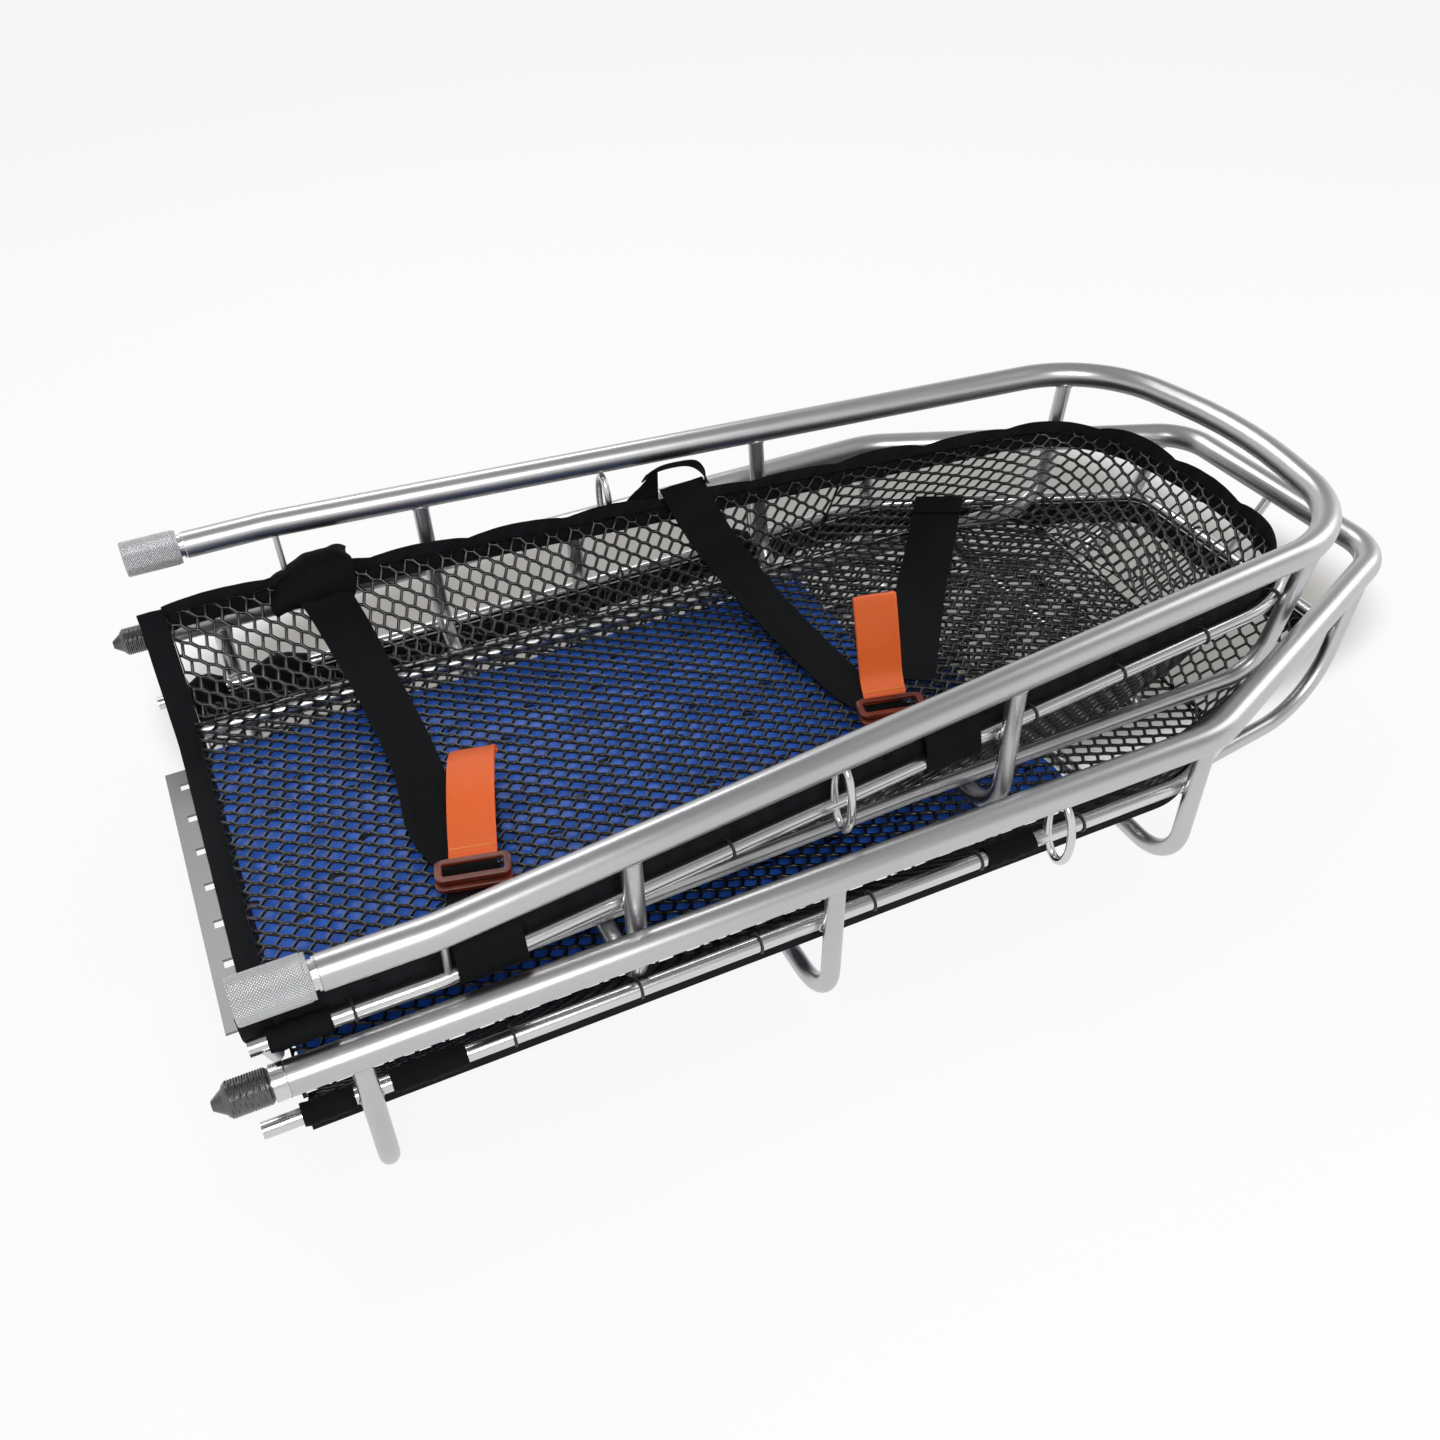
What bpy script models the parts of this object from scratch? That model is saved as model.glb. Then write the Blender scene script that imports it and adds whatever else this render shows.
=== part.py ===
"""Basket stretcher in two halves, nested for storage.

The lower half stands on its ribs and the upper half lies in it, split ends together.
Metres, +Z up. Stations run along the stretcher from the tips of the threaded studs.
"""
import math

import bmesh
import bpy
from mathutils import Matrix, Vector

OBJECT_NAME = "basket_stretcher"

# Clearance between pieces that touch
GAP = 0.0003

# Tube and rod radii
RAIL_R = 0.0127
RIB_R = 0.00795
RUNNER_R = 0.00795
NET_RAIL_R = 0.00635
HOOP_R = 0.006
CROSS_TUBE_R = 0.0065
POST_R = 0.005
RING_R = 0.0036
TIE_R = 0.003

# Heights, measured down from a half's main rail axis
RIB_DROP = 0.160
NET_RAIL_DROP = 0.065
HOOP_DROP = 0.162

# The upper half lies this much above the lower one
STACK = 0.085

# Main rails in plan: half width at the split end, then stations and half widths of the bends
HALF_WIDTH = 0.2925
LOWER_START = 0.050
LOWER_BEND = 0.820
LOWER_BEND_RADIUS = 0.10
LOWER_CORNER = (1.143, HALF_WIDTH - 0.1495)
LOWER_CORNER_RADIUS = 0.055
UPPER_START = 0.0893
UPPER_BEND = 0.1663
UPPER_BEND_RADIUS = 0.15
UPPER_CORNER = (1.045, HALF_WIDTH - 0.0975)
UPPER_CORNER_RADIUS = 0.12
UPPER_NOSE = 1.083
UPPER_NOSE_RADIUS = 0.40

# Net rails: where they start and how far their nose lies inside the main rail's
LOWER_NET_START = 0.021
UPPER_NET_START = 0.032
LOWER_NOSE_INSET = 0.048
UPPER_NOSE_INSET = 0.026
UPPER_NET_CORNER_RADIUS = 0.12

# Ribs
LOWER_RIBS = (0.097, 0.464, 0.816)
UPPER_RIBS = (0.309, 0.655)
RIB_BEND = 0.050
LOWER_LEAN = 0.076

# Bottom runners in plan, each with a corner where it turns up to the main rail
RUNNER_SPREAD = HALF_WIDTH - 0.0925
LOWER_RUNNER_KNEE = 0.845
LOWER_RUNNER_TURN = (1.070, HALF_WIDTH - 0.126)
LOWER_RUNNER_TOP = 1.120
LOWER_RUNNER_BEND = 0.090
RUNNER_KNEE_BEND = 0.20
UPPER_RUNNER_KNEE = (0.595, RUNNER_SPREAD - 0.018)
UPPER_RUNNER_TURN = (0.973, RUNNER_SPREAD - 0.022)
UPPER_RUNNER_TOP = 1.005
UPPER_RUNNER_BEND = 0.045
CROSS_TUBE_STATION = 0.845

# Split end of the upper half
HOOP_STATION = 0.0425
HOOP_SPREAD = RUNNER_SPREAD
HOOP_BEND = 0.030
COMB_HALF_WIDTH = HOOP_SPREAD - 0.033
COMB_FLANGE = 0.019
COMB_BEND = 0.005
COMB_SKIRT = 0.009
COMB_THICKNESS = 0.0025
COMB_SLOT = 0.0095
COMB_PITCH = 0.0475
COMB_SLOTS = 7
COMB_SLOT_SETBACK = 0.0105

# Coupling: threaded studs on the lower rails, spinning collars on the upper ones
STUD_THREAD_R = 0.0135
STUD_TIP_R = 0.0035
STUD_TIP_LENGTH = 0.0115
STUD_THREAD_LENGTH = 0.027
STUD_NECK_R = 0.0112
COLLAR_R = 0.0165
COLLAR_LENGTH = 0.050
COLLAR_THREAD_DEPTH = 0.040
THREAD_CLEARANCE = 0.0004
FERRULE_NECK_R = 0.0105
FERRULE_NECK_LENGTH = 0.005
FERRULE_FLANGE = 0.006
COLLAR_BACK_WALL = COLLAR_LENGTH - COLLAR_THREAD_DEPTH

# Fittings
TIE_STATION = 0.170
TIE_SHIFT = 0.004
LOWER_RING_STATION = 0.674
UPPER_RING_STATION = 0.490
RING_SHIFT = 0.004
RING_BOTTOM_DROP = 0.0785

# Soft goods
BAND_THICKNESS = 0.0015
BAND_HEIGHT = 0.026
UPPER_BAND_TOP = 0.042
LOWER_BAND_TOP = 0.0665
END_BAND_WIDTH = 0.024
NET_WIRE = 0.0016
NET_START = 0.0540
NET_FLOOR_SPREAD = RUNNER_SPREAD - 0.002
NET_SAG = 0.0025
UPPER_FLOOR = ((0.805, NET_FLOOR_SPREAD - 0.022), (0.925, NET_FLOOR_SPREAD - 0.058), 0.945)
LOWER_FLOOR = ((0.765, NET_FLOOR_SPREAD), (0.945, NET_FLOOR_SPREAD - 0.048), 0.975)
FLOOR_CELLS = (8, 4)
WALL_CELLS = (8, 2)
WALL_SHARE = 0.62
BED_THICKNESS = 0.002
BED_HALF_WIDTH = RUNNER_SPREAD - 0.029
BED_RIPPLE = 0.0012
BED_RIPPLES = 8
BED_START = 0.058
UPPER_BED_END = 0.669
LOWER_BED_END = 0.795
STRAP_WIDTH = 0.050
STRAP_THICKNESS = 0.0016
STRAP_1_STATION = 0.203
STRAP_2_STATION = 0.588
BUCKLE_1 = (0.2255, -0.117)
BUCKLE_2 = (0.6305, -0.0895)
BUCKLE_TURN = math.radians(-14.0)
BUCKLE_LENGTH = 0.062
BUCKLE_DEPTH = 0.034
BUCKLE_BAR = 0.004
BUCKLE_END_BAR = 0.006
TAB_WIDTH = 0.040
TAB_EYE_R = 0.0040
WRAP_THICKNESS = 0.0022
LOWER_WRAPS = ((0.049, 0.0865), (0.113, 0.169), (0.614, 0.660))

# Sides of the tubes, and the largest turn between two points of a bend
RAIL_RESOLUTION = 6
TUBE_RESOLUTION = 4
ROD_RESOLUTION = 2
BEND_STEP = math.radians(15.0)
TURNED_STEPS = 24

# Worked out from the sizes above
LENGTH = LOWER_CORNER[0] + RAIL_R
LOWER_Z = RIB_DROP + RIB_R
UPPER_Z = LOWER_Z + STACK
RUNNER_DROP = RIB_DROP - RIB_R - RUNNER_R - GAP
FLOOR_DROP = RUNNER_DROP - RUNNER_R - GAP - NET_WIRE / 2
STRAP_DROP = FLOOR_DROP - NET_WIRE / 2 - GAP - STRAP_THICKNESS / 2
BUCKLE_DROP = STRAP_DROP - STRAP_THICKNESS - TAB_EYE_R - GAP


def world_x(station):
    return station - LENGTH / 2


def start_scene():
    for obj in list(bpy.data.objects):
        bpy.data.objects.remove(obj)
    parts = bpy.data.collections.new(OBJECT_NAME)
    cutters = bpy.data.collections.new(OBJECT_NAME + "_cutters")
    bpy.context.scene.collection.children.link(parts)
    bpy.context.scene.collection.children.link(cutters)
    return parts, cutters


PARTS, CUTTERS = start_scene()


def material(name, colour, roughness, metallic):
    made = bpy.data.materials.new(name)
    made.use_nodes = True
    shader = made.node_tree.nodes["Principled BSDF"]
    shader.inputs["Base Color"].default_value = (*colour, 1.0)
    shader.inputs["Roughness"].default_value = roughness
    shader.inputs["Metallic"].default_value = metallic
    return made


STEEL = ("stainless_tube", (0.62, 0.62, 0.63), 0.35, 1.0)
DARK_STEEL = ("dark_thread", (0.22, 0.21, 0.20), 0.4, 1.0)
KNURL = ("knurled_collar", (0.55, 0.56, 0.57), 0.5, 1.0)
WEBBING = ("black_webbing", (0.015, 0.015, 0.018), 0.8, 0.0)
NETTING = ("net_strand", (0.02, 0.02, 0.022), 0.45, 0.0)
BLUE = ("blue_bed", (0.03, 0.11, 0.50), 0.35, 0.0)
ORANGE = ("orange_webbing", (0.85, 0.13, 0.03), 0.6, 0.0)
BUCKLE_RED = ("buckle_coat", (0.33, 0.05, 0.02), 0.4, 0.0)


def finish(obj, look, smooth=True):
    """Give an object its own material and shading and file it with the parts."""
    name, colour, roughness, metallic = look
    obj.data.materials.clear()
    obj.data.materials.append(material(obj.name + "_" + name, colour, roughness, metallic))
    if smooth:
        obj.data.shade_smooth()
        obj.data.set_sharp_from_angle(angle=math.radians(35.0))
    return obj


def mesh_object(name, mesh, collection=PARTS):
    obj = bpy.data.objects.new(name, mesh)
    collection.objects.link(obj)
    return obj


def as_cutter(obj):
    obj.hide_render = True
    obj.display_type = "WIRE"
    return obj


def cut(obj, cutter):
    modifier = obj.modifiers.new("cut_" + cutter.name, "BOOLEAN")
    modifier.operation = "DIFFERENCE"
    modifier.solver = "EXACT"
    modifier.object = cutter


def fillet(points, radii):
    """Round each inner corner of a path with an arc of the given radius."""
    path = [Vector(points[0])]
    for index in range(1, len(points) - 1):
        corner = Vector(points[index])
        into = (corner - Vector(points[index - 1])).normalized()
        out = (Vector(points[index + 1]) - corner).normalized()
        turn = into.angle(out)
        radius = radii[index - 1]
        if turn < math.radians(0.5) or radius <= 0.0:
            path.append(corner)
            continue
        reach = radius * math.tan(turn / 2)
        inward = (out - into * into.dot(out)).normalized()
        centre = corner - into * reach + inward * radius
        steps = max(2, math.ceil(turn / BEND_STEP))
        for step in range(steps + 1):
            angle = turn * step / steps
            path.append(centre - inward * radius * math.cos(angle) + into * radius * math.sin(angle))
    path.append(Vector(points[-1]))
    return path


def tube_mesh(name, points, radius, resolution, cyclic=False):
    """A round tube along a path, as a closed mesh."""
    curve = bpy.data.curves.new(name, "CURVE")
    curve.dimensions = "3D"
    curve.bevel_depth = radius
    curve.bevel_resolution = resolution
    curve.use_fill_caps = True
    spline = curve.splines.new("POLY")
    spline.points.add(len(points) - 1)
    for point, place in zip(spline.points, points):
        point.co = (*place, 1.0)
    spline.use_cyclic_u = cyclic
    guide = bpy.data.objects.new(name + "_curve", curve)
    PARTS.objects.link(guide)
    bpy.context.view_layer.update()
    depsgraph = bpy.context.evaluated_depsgraph_get()
    mesh = bpy.data.meshes.new_from_object(guide.evaluated_get(depsgraph))
    bpy.data.objects.remove(guide)
    work = bmesh.new()
    work.from_mesh(mesh)
    bmesh.ops.remove_doubles(work, verts=work.verts, dist=0.00002)
    bmesh.ops.recalc_face_normals(work, faces=work.faces)
    work.to_mesh(mesh)
    work.free()
    return mesh


def tube(name, points, radius, look=STEEL, resolution=TUBE_RESOLUTION, cyclic=False):
    return finish(mesh_object(name, tube_mesh(name, points, radius, resolution, cyclic)), look)


def tube_cutter(name, points, radius, resolution):
    mesh = tube_mesh(name, points, radius + GAP, resolution)
    return as_cutter(mesh_object(name, mesh, CUTTERS))


def solidify(obj, thickness):
    modifier = obj.modifiers.new("thickness", "SOLIDIFY")
    modifier.thickness = thickness
    modifier.offset = 0.0
    modifier.use_even_offset = True
    return obj


def strip(name, edge, sweep, thickness, look):
    """A sheet swept from an edge path along one direction, then given its thickness."""
    work = bmesh.new()
    row = [work.verts.new(Vector(place) - Vector(sweep) / 2) for place in edge]
    edges = [work.edges.new(pair) for pair in zip(row, row[1:])]
    swept = bmesh.ops.extrude_edge_only(work, edges=edges)
    moved = [item for item in swept["geom"] if isinstance(item, bmesh.types.BMVert)]
    bmesh.ops.translate(work, verts=moved, vec=Vector(sweep))
    bmesh.ops.recalc_face_normals(work, faces=work.faces)
    mesh = bpy.data.meshes.new(name)
    work.to_mesh(mesh)
    work.free()
    return solidify(finish(mesh_object(name, mesh), look), thickness)


def turned(name, profile, place, look):
    """A piece turned about the X axis: its profile is (distance along X, radius)."""
    work = bmesh.new()
    row = [work.verts.new((radius, 0.0, -along)) for along, radius in profile]
    for pair in zip(row, row[1:]):
        work.edges.new(pair)
    if profile[0][1] > 0.0:
        work.edges.new((row[-1], row[0]))
    mesh = bpy.data.meshes.new(name)
    work.to_mesh(mesh)
    work.free()
    obj = mesh_object(name, mesh)
    screw = obj.modifiers.new("turn", "SCREW")
    screw.steps = TURNED_STEPS
    screw.render_steps = TURNED_STEPS
    screw.use_merge_vertices = True
    screw.merge_threshold = 0.00005
    obj.rotation_euler = (0.0, -math.pi / 2, 0.0)
    obj.location = place
    return finish(obj, look)


# Plans of the rails, from the split end along the left side to the nose

def lower_plan():
    corner_station, corner_spread = LOWER_CORNER
    points = [(LOWER_START, HALF_WIDTH), (LOWER_BEND, HALF_WIDTH), LOWER_CORNER]
    nose = (corner_station, 0.0)
    return points, nose, [LOWER_BEND_RADIUS, LOWER_CORNER_RADIUS], 0.0


def upper_plan():
    points = [(UPPER_START, HALF_WIDTH), (UPPER_BEND, HALF_WIDTH), UPPER_CORNER]
    nose = (UPPER_NOSE, 0.0)
    return points, nose, [UPPER_BEND_RADIUS, UPPER_CORNER_RADIUS], UPPER_NOSE_RADIUS


def offset_line(start, end, inset):
    """The line from start to end, moved inward towards the stretcher's middle."""
    along = (Vector(end) - Vector(start)).normalized()
    inward = Vector((along.y, -along.x))
    return Vector(start) + inward * inset, along


def meet(first, second):
    """Where two lines, each a point and a direction, cross."""
    point, along = first
    other, way = second
    denominator = along.x * way.y - along.y * way.x
    reach = ((other.x - point.x) * way.y - (other.y - point.y) * way.x) / denominator
    return point + along * reach


def inset_plan(plan, start, inset, nose_inset, corner_radius=None):
    """A plan moved inward, with its own start station and a deeper inset at the nose."""
    points, nose, radii, nose_radius = plan
    side = offset_line(points[0], points[1], inset)
    taper = offset_line(points[1], points[2], inset)
    front = offset_line(points[2], nose, nose_inset)
    centre = (Vector((0.0, 0.0)), Vector((1.0, 0.0)))
    first = (start, points[0][1] - inset)
    corner = meet(taper, front)
    bend = meet(side, taper)
    rounded = [max(radii[0] - inset, 0.02), corner_radius or max(radii[1] - inset, 0.02)]
    return [first, tuple(bend), tuple(corner)], tuple(meet(front, centre)), rounded, nose_radius


def half_path(plan):
    """One side of a plan as a rounded path in station and half width."""
    points, nose, radii, nose_radius = plan
    if nose_radius > 0.0:
        mirrored = (points[2][0], -points[2][1])
        whole = fillet([(*point, 0.0) for point in (*points, nose, mirrored)], [*radii, nose_radius])
        front = [place for place in whole[:-1] if place.y > 0.0005]
        tip = max(whole, key=lambda place: place.x)
        return front + [Vector((tip.x, 0.0, 0.0))]
    return fillet([(*point, 0.0) for point in (*points, nose)], radii)


def loop_path(plan, height):
    """A plan's whole path in world places, from the left split end round the nose to the right."""
    left = [Vector((world_x(place.x), place.y, height)) for place in half_path(plan)]
    right = [Vector((place.x, -place.y, place.z)) for place in reversed(left[:-1])]
    return left + right


def spread_at(plan, station):
    """Half width of a plan's path at a station."""
    path = half_path(plan)
    for first, second in zip(path, path[1:]):
        if first.x <= station <= second.x:
            share = (station - first.x) / (second.x - first.x)
            return first.y + (second.y - first.y) * share
    return path[0].y if station < path[0].x else path[-1].y


LOWER_PLAN = lower_plan()
UPPER_PLAN = upper_plan()
FIRST_UPPER_LEG = spread_at(UPPER_PLAN, UPPER_RIBS[0])

# The upper legs lean so that, at the stacked height, they just clear the lower rails' inner sides
UPPER_LEAN = (FIRST_UPPER_LEG - (HALF_WIDTH - RAIL_R - GAP - RIB_R)) / STACK

LOWER_INSET = LOWER_LEAN * NET_RAIL_DROP + RIB_R + GAP + NET_RAIL_R
UPPER_INSET = UPPER_LEAN * NET_RAIL_DROP + RIB_R + GAP + NET_RAIL_R
LOWER_NET_PLAN = inset_plan(LOWER_PLAN, LOWER_NET_START, LOWER_INSET, LOWER_NOSE_INSET)
UPPER_NET_PLAN = inset_plan(UPPER_PLAN, UPPER_NET_START, UPPER_INSET, UPPER_NOSE_INSET,
                            UPPER_NET_CORNER_RADIUS)


def rail_and_cutter(name, plan, height, radius, resolution):
    path = loop_path(plan, height)
    cutter = tube_cutter(name + "_cutter", path, radius, resolution)
    return tube(name, path, radius, STEEL, resolution), cutter


def rib(name, plan, station, height, lean, rail_cutter):
    """A U rib: two leaning legs from the main rail and a straight run across the bottom."""
    spread = spread_at(plan, station)
    foot = spread - lean * RIB_DROP
    x = world_x(station)
    corners = [(x, spread, height), (x, foot, height - RIB_DROP),
               (x, -foot, height - RIB_DROP), (x, -spread, height)]
    made = tube(name, fillet(corners, [RIB_BEND, RIB_BEND]), RIB_R)
    cut(made, rail_cutter)
    return made


def runner_path(side, start, knee, turn, top, plan, height, bend):
    low = height - RUNNER_DROP
    corners = [(world_x(start), side * RUNNER_SPREAD, low),
               (world_x(knee[0]), side * knee[1], low),
               (world_x(turn[0]), side * turn[1], low),
               (world_x(top), side * spread_at(plan, top), height)]
    return fillet(corners, [RUNNER_KNEE_BEND, bend])


def lift_ring(name, side, plan, net_inset, station, height, net_cutter):
    """A round-bar loop hung under the main rail, reaching in to the net rail, where it is cut open."""
    rail_spread = spread_at(plan, station)
    middle = rail_spread - RING_SHIFT
    half_width = net_inset - RING_SHIFT
    reach = RAIL_R + RING_R + GAP
    top_drop = math.sqrt(reach ** 2 - RING_SHIFT ** 2)
    half_height = (RING_BOTTOM_DROP - top_drop) / 2
    centre = height - (RING_BOTTOM_DROP + top_drop) / 2
    count = 20
    places = []
    for index in range(count):
        angle = 2 * math.pi * index / count
        places.append(Vector((world_x(station), side * (middle + half_width * math.cos(angle)),
                              centre + half_height * math.sin(angle))))
    made = tube(name, places, RING_R, STEEL, ROD_RESOLUTION, cyclic=True)
    cut(made, net_cutter)
    return made


def tie_rod(name, side, station, height, rail_cutter, net_cutter):
    top = spread_at(UPPER_PLAN, station) - TIE_SHIFT
    bottom = spread_at(UPPER_NET_PLAN, station)
    x = world_x(station)
    ends = [Vector((x, side * top, height)), Vector((x, side * bottom, height - NET_RAIL_DROP))]
    made = tube(name, ends, TIE_R, STEEL, ROD_RESOLUTION)
    cut(made, rail_cutter)
    cut(made, net_cutter)
    return made


def band_edge(net_plan, height, start, inset):
    """The path that lies inside a net rail by an inset, starting at a station."""
    points, nose, radii, nose_radius = net_plan
    corner_radius = max(radii[1] - inset, 0.02)
    plan = inset_plan(net_plan, start, inset, inset, corner_radius)
    return loop_path(plan, height)


def binding(name, net_plan, height, top_drop):
    inset = NET_RAIL_R + GAP + BAND_THICKNESS / 2
    edge = band_edge(net_plan, height - top_drop - BAND_HEIGHT / 2, NET_START, inset)
    return strip(name, edge, (0.0, 0.0, BAND_HEIGHT), BAND_THICKNESS, WEBBING)


def binding_cutter(name, net_plan, height, top_drop):
    """The room the binding takes, from the net rail's side well past the band's inner face."""
    depth = 3 * (GAP + BAND_THICKNESS)
    edge = band_edge(net_plan, height - top_drop - BAND_HEIGHT / 2, NET_START - 0.02,
                     NET_RAIL_R + depth / 2)
    made = strip(name, edge, (0.0, 0.0, BAND_HEIGHT + 2 * GAP), depth, WEBBING)
    PARTS.objects.unlink(made)
    CUTTERS.objects.link(made)
    return as_cutter(made)


def resample(path, count):
    """Points at equal steps of length along a path."""
    lengths = [0.0]
    for first, second in zip(path, path[1:]):
        lengths.append(lengths[-1] + (second - first).length)
    places = []
    for index in range(count + 1):
        goal = lengths[-1] * index / count
        step = next(number for number in range(1, len(path)) if lengths[number] >= goal - 1e-9)
        share = (goal - lengths[step - 1]) / (lengths[step] - lengths[step - 1])
        places.append(path[step - 1].lerp(path[step], share))
    return places


def lattice(name, cells, surface, look=NETTING):
    """A net of diamond gaps: a grid poked to diagonals, laid on a surface, then made strands."""
    across, up = cells
    work = bmesh.new()
    bmesh.ops.create_grid(work, x_segments=across, y_segments=up, size=0.5)
    inner = [edge for edge in work.edges if not edge.is_boundary]
    bmesh.ops.poke(work, faces=work.faces)
    bmesh.ops.dissolve_edges(work, edges=inner, use_verts=False)
    for vertex in work.verts:
        vertex.co = surface(vertex.co.x + 0.5, vertex.co.y + 0.5)
    bmesh.ops.recalc_face_normals(work, faces=work.faces)
    mesh = bpy.data.meshes.new(name)
    work.to_mesh(mesh)
    work.free()
    obj = finish(mesh_object(name, mesh), look, smooth=False)
    strands = obj.modifiers.new("strands", "WIREFRAME")
    strands.thickness = NET_WIRE
    strands.offset = 0.0
    strands.use_boundary = True
    strands.use_replace = True
    strands.use_even_offset = False
    return obj


def net(prefix, net_plan, height, top_drop, floor_outline):
    """The lining: a floor on the runners and three walls hung inside the binding band."""
    inset = NET_RAIL_R + 2 * GAP + BAND_THICKNESS + NET_WIRE / 2
    top_path = band_edge(net_plan, height - top_drop, NET_START, inset)
    floor_bend, floor_corner, floor_nose = floor_outline
    floor_plan = ([(NET_START, NET_FLOOR_SPREAD), floor_bend, floor_corner], (floor_nose, 0.0),
                  [0.1, 0.03], 0.0)
    grown = inset_plan(floor_plan, NET_START, -0.003, -0.003)
    bottom_path = loop_path(grown, height - FLOOR_DROP + 0.003)
    count = 60
    top = resample(top_path, count)
    bottom = resample(bottom_path, count)

    def on_path(places, share):
        goal = min(max(share, 0.0), 1.0) * count
        step = min(int(goal), count - 1)
        return places[step].lerp(places[step + 1], goal - step)

    def wall(start, end):
        def surface(along, up):
            share = start + (end - start) * along
            return on_path(bottom, share).lerp(on_path(top, share), up)
        return surface

    def floor(along, over):
        station = NET_START + (floor_nose - 0.012 - NET_START) * along
        spread = spread_at(floor_plan, station)
        sag = NET_SAG * math.sin(math.pi * along) * math.sin(math.pi * over)
        return Vector((world_x(station), (2 * over - 1) * spread, height - FLOOR_DROP - sag))

    side = WALL_SHARE / 2
    slit = 0.0012
    lattice(prefix + "_net_floor", FLOOR_CELLS, floor)
    lattice(prefix + "_net_left", WALL_CELLS, wall(0.0, side - slit))
    lattice(prefix + "_net_nose", WALL_CELLS, wall(side, 1.0 - side))
    lattice(prefix + "_net_right", WALL_CELLS, wall(1.0 - side + slit, 1.0))


def bed_panel(name, height, end):
    """A thin panel with shallow ripples along its length, laid on the ribs between the runners."""
    level = height - RIB_DROP + RIB_R + GAP + BED_RIPPLE + BED_THICKNESS / 2
    steps = BED_RIPPLES * 4
    middle = world_x((BED_START + end) / 2)
    edge = []
    for index in range(steps + 1):
        share = index / steps
        wave = BED_RIPPLE * math.cos(2 * math.pi * BED_RIPPLES * share)
        edge.append((middle, BED_HALF_WIDTH * (2 * share - 1), level + wave))
    return strip(name, edge, (end - BED_START, 0.0, 0.0), BED_THICKNESS, BLUE)


def build_lower_half():
    rail, rail_cutter = rail_and_cutter("lower_main_rail", LOWER_PLAN, LOWER_Z, RAIL_R, RAIL_RESOLUTION)
    net_height = LOWER_Z - NET_RAIL_DROP
    net_rail, net_cutter = rail_and_cutter("lower_net_rail", LOWER_NET_PLAN, net_height, NET_RAIL_R,
                                           TUBE_RESOLUTION)
    for number, station in enumerate(LOWER_RIBS, 1):
        rib("lower_rib_%d" % number, LOWER_PLAN, station, LOWER_Z, LOWER_LEAN, rail_cutter)
    for side, word in ((1, "left"), (-1, "right")):
        path = runner_path(side, BED_START, (LOWER_RUNNER_KNEE, RUNNER_SPREAD), LOWER_RUNNER_TURN,
                           LOWER_RUNNER_TOP, LOWER_PLAN, LOWER_Z, LOWER_RUNNER_BEND)
        cut(tube("lower_runner_" + word, path, RUNNER_R), rail_cutter)
        lift_ring("lower_lift_ring_" + word, side, LOWER_PLAN, LOWER_INSET, LOWER_RING_STATION,
                  LOWER_Z, net_cutter)
        stud("lower_stud_" + word, side)
    nose_net = loop_path(LOWER_NET_PLAN, net_height)
    nose_x = max(place.x for place in nose_net)
    post = tube("lower_nose_post", [Vector((world_x(LOWER_CORNER[0]), 0.0, LOWER_Z)),
                                    Vector((nose_x, 0.0, net_height))], POST_R, STEEL, ROD_RESOLUTION)
    cut(post, rail_cutter)
    cut(post, net_cutter)
    band_cutter = binding_cutter("lower_binding_cutter", LOWER_NET_PLAN, LOWER_Z, LOWER_BAND_TOP)
    for number, (start, end) in enumerate(LOWER_WRAPS, 1):
        net_wrap("lower_wrap_%d" % number, start, end, net_height, net_cutter, band_cutter)
    binding("lower_net_binding", LOWER_NET_PLAN, LOWER_Z, LOWER_BAND_TOP)
    net("lower", LOWER_NET_PLAN, LOWER_Z, LOWER_BAND_TOP + 0.004, LOWER_FLOOR)
    bed_panel("lower_bed_panel", LOWER_Z, LOWER_BED_END)


def stud(name, side):
    """A threaded stud: a conical tip, the thread's outer size, and a neck up to the rail's end."""
    thread_end = STUD_TIP_LENGTH + STUD_THREAD_LENGTH
    tip_shoulder = 0.0095
    profile = [(0.0, 0.0), (0.0, STUD_TIP_R), (STUD_TIP_LENGTH - 0.003, tip_shoulder),
               (STUD_TIP_LENGTH - 0.003, tip_shoulder + 0.001), (STUD_TIP_LENGTH, STUD_THREAD_R),
               (thread_end - 0.002, STUD_THREAD_R), (thread_end, STUD_NECK_R),
               (LOWER_START - GAP, STUD_NECK_R), (LOWER_START - GAP, 0.0)]
    place = (world_x(0.0), side * HALF_WIDTH, LOWER_Z)
    return turned(name, profile, place, DARK_STEEL)


def net_wrap(name, start, end, height, net_cutter, band_cutter):
    """A webbing wrap sewn round the right net rail, open where the binding band lies."""
    places = [Vector((world_x(station), -spread_at(LOWER_NET_PLAN, station), height))
              for station in (start, end)]
    made = tube(name, places, NET_RAIL_R + GAP + WRAP_THICKNESS, WEBBING)
    cut(made, net_cutter)
    cut(made, band_cutter)
    return made


def ferrule(name, side):
    """The rail's end piece: a neck, and a flange that keeps the collar on."""
    inside = UPPER_START - GAP
    back = inside - FERRULE_NECK_LENGTH - COLLAR_BACK_WALL - GAP
    flange_r = STUD_THREAD_R + THREAD_CLEARANCE - 2 * GAP
    profile = [(back - FERRULE_FLANGE, 0.0), (back - FERRULE_FLANGE, flange_r), (back, flange_r),
               (back, FERRULE_NECK_R), (inside - 0.002, FERRULE_NECK_R), (inside - 0.002, RAIL_R - 0.0008),
               (inside, RAIL_R - 0.0008), (inside, 0.0)]
    place = (world_x(0.0), side * HALF_WIDTH, UPPER_Z)
    return turned(name, profile, place, STEEL)


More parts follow.
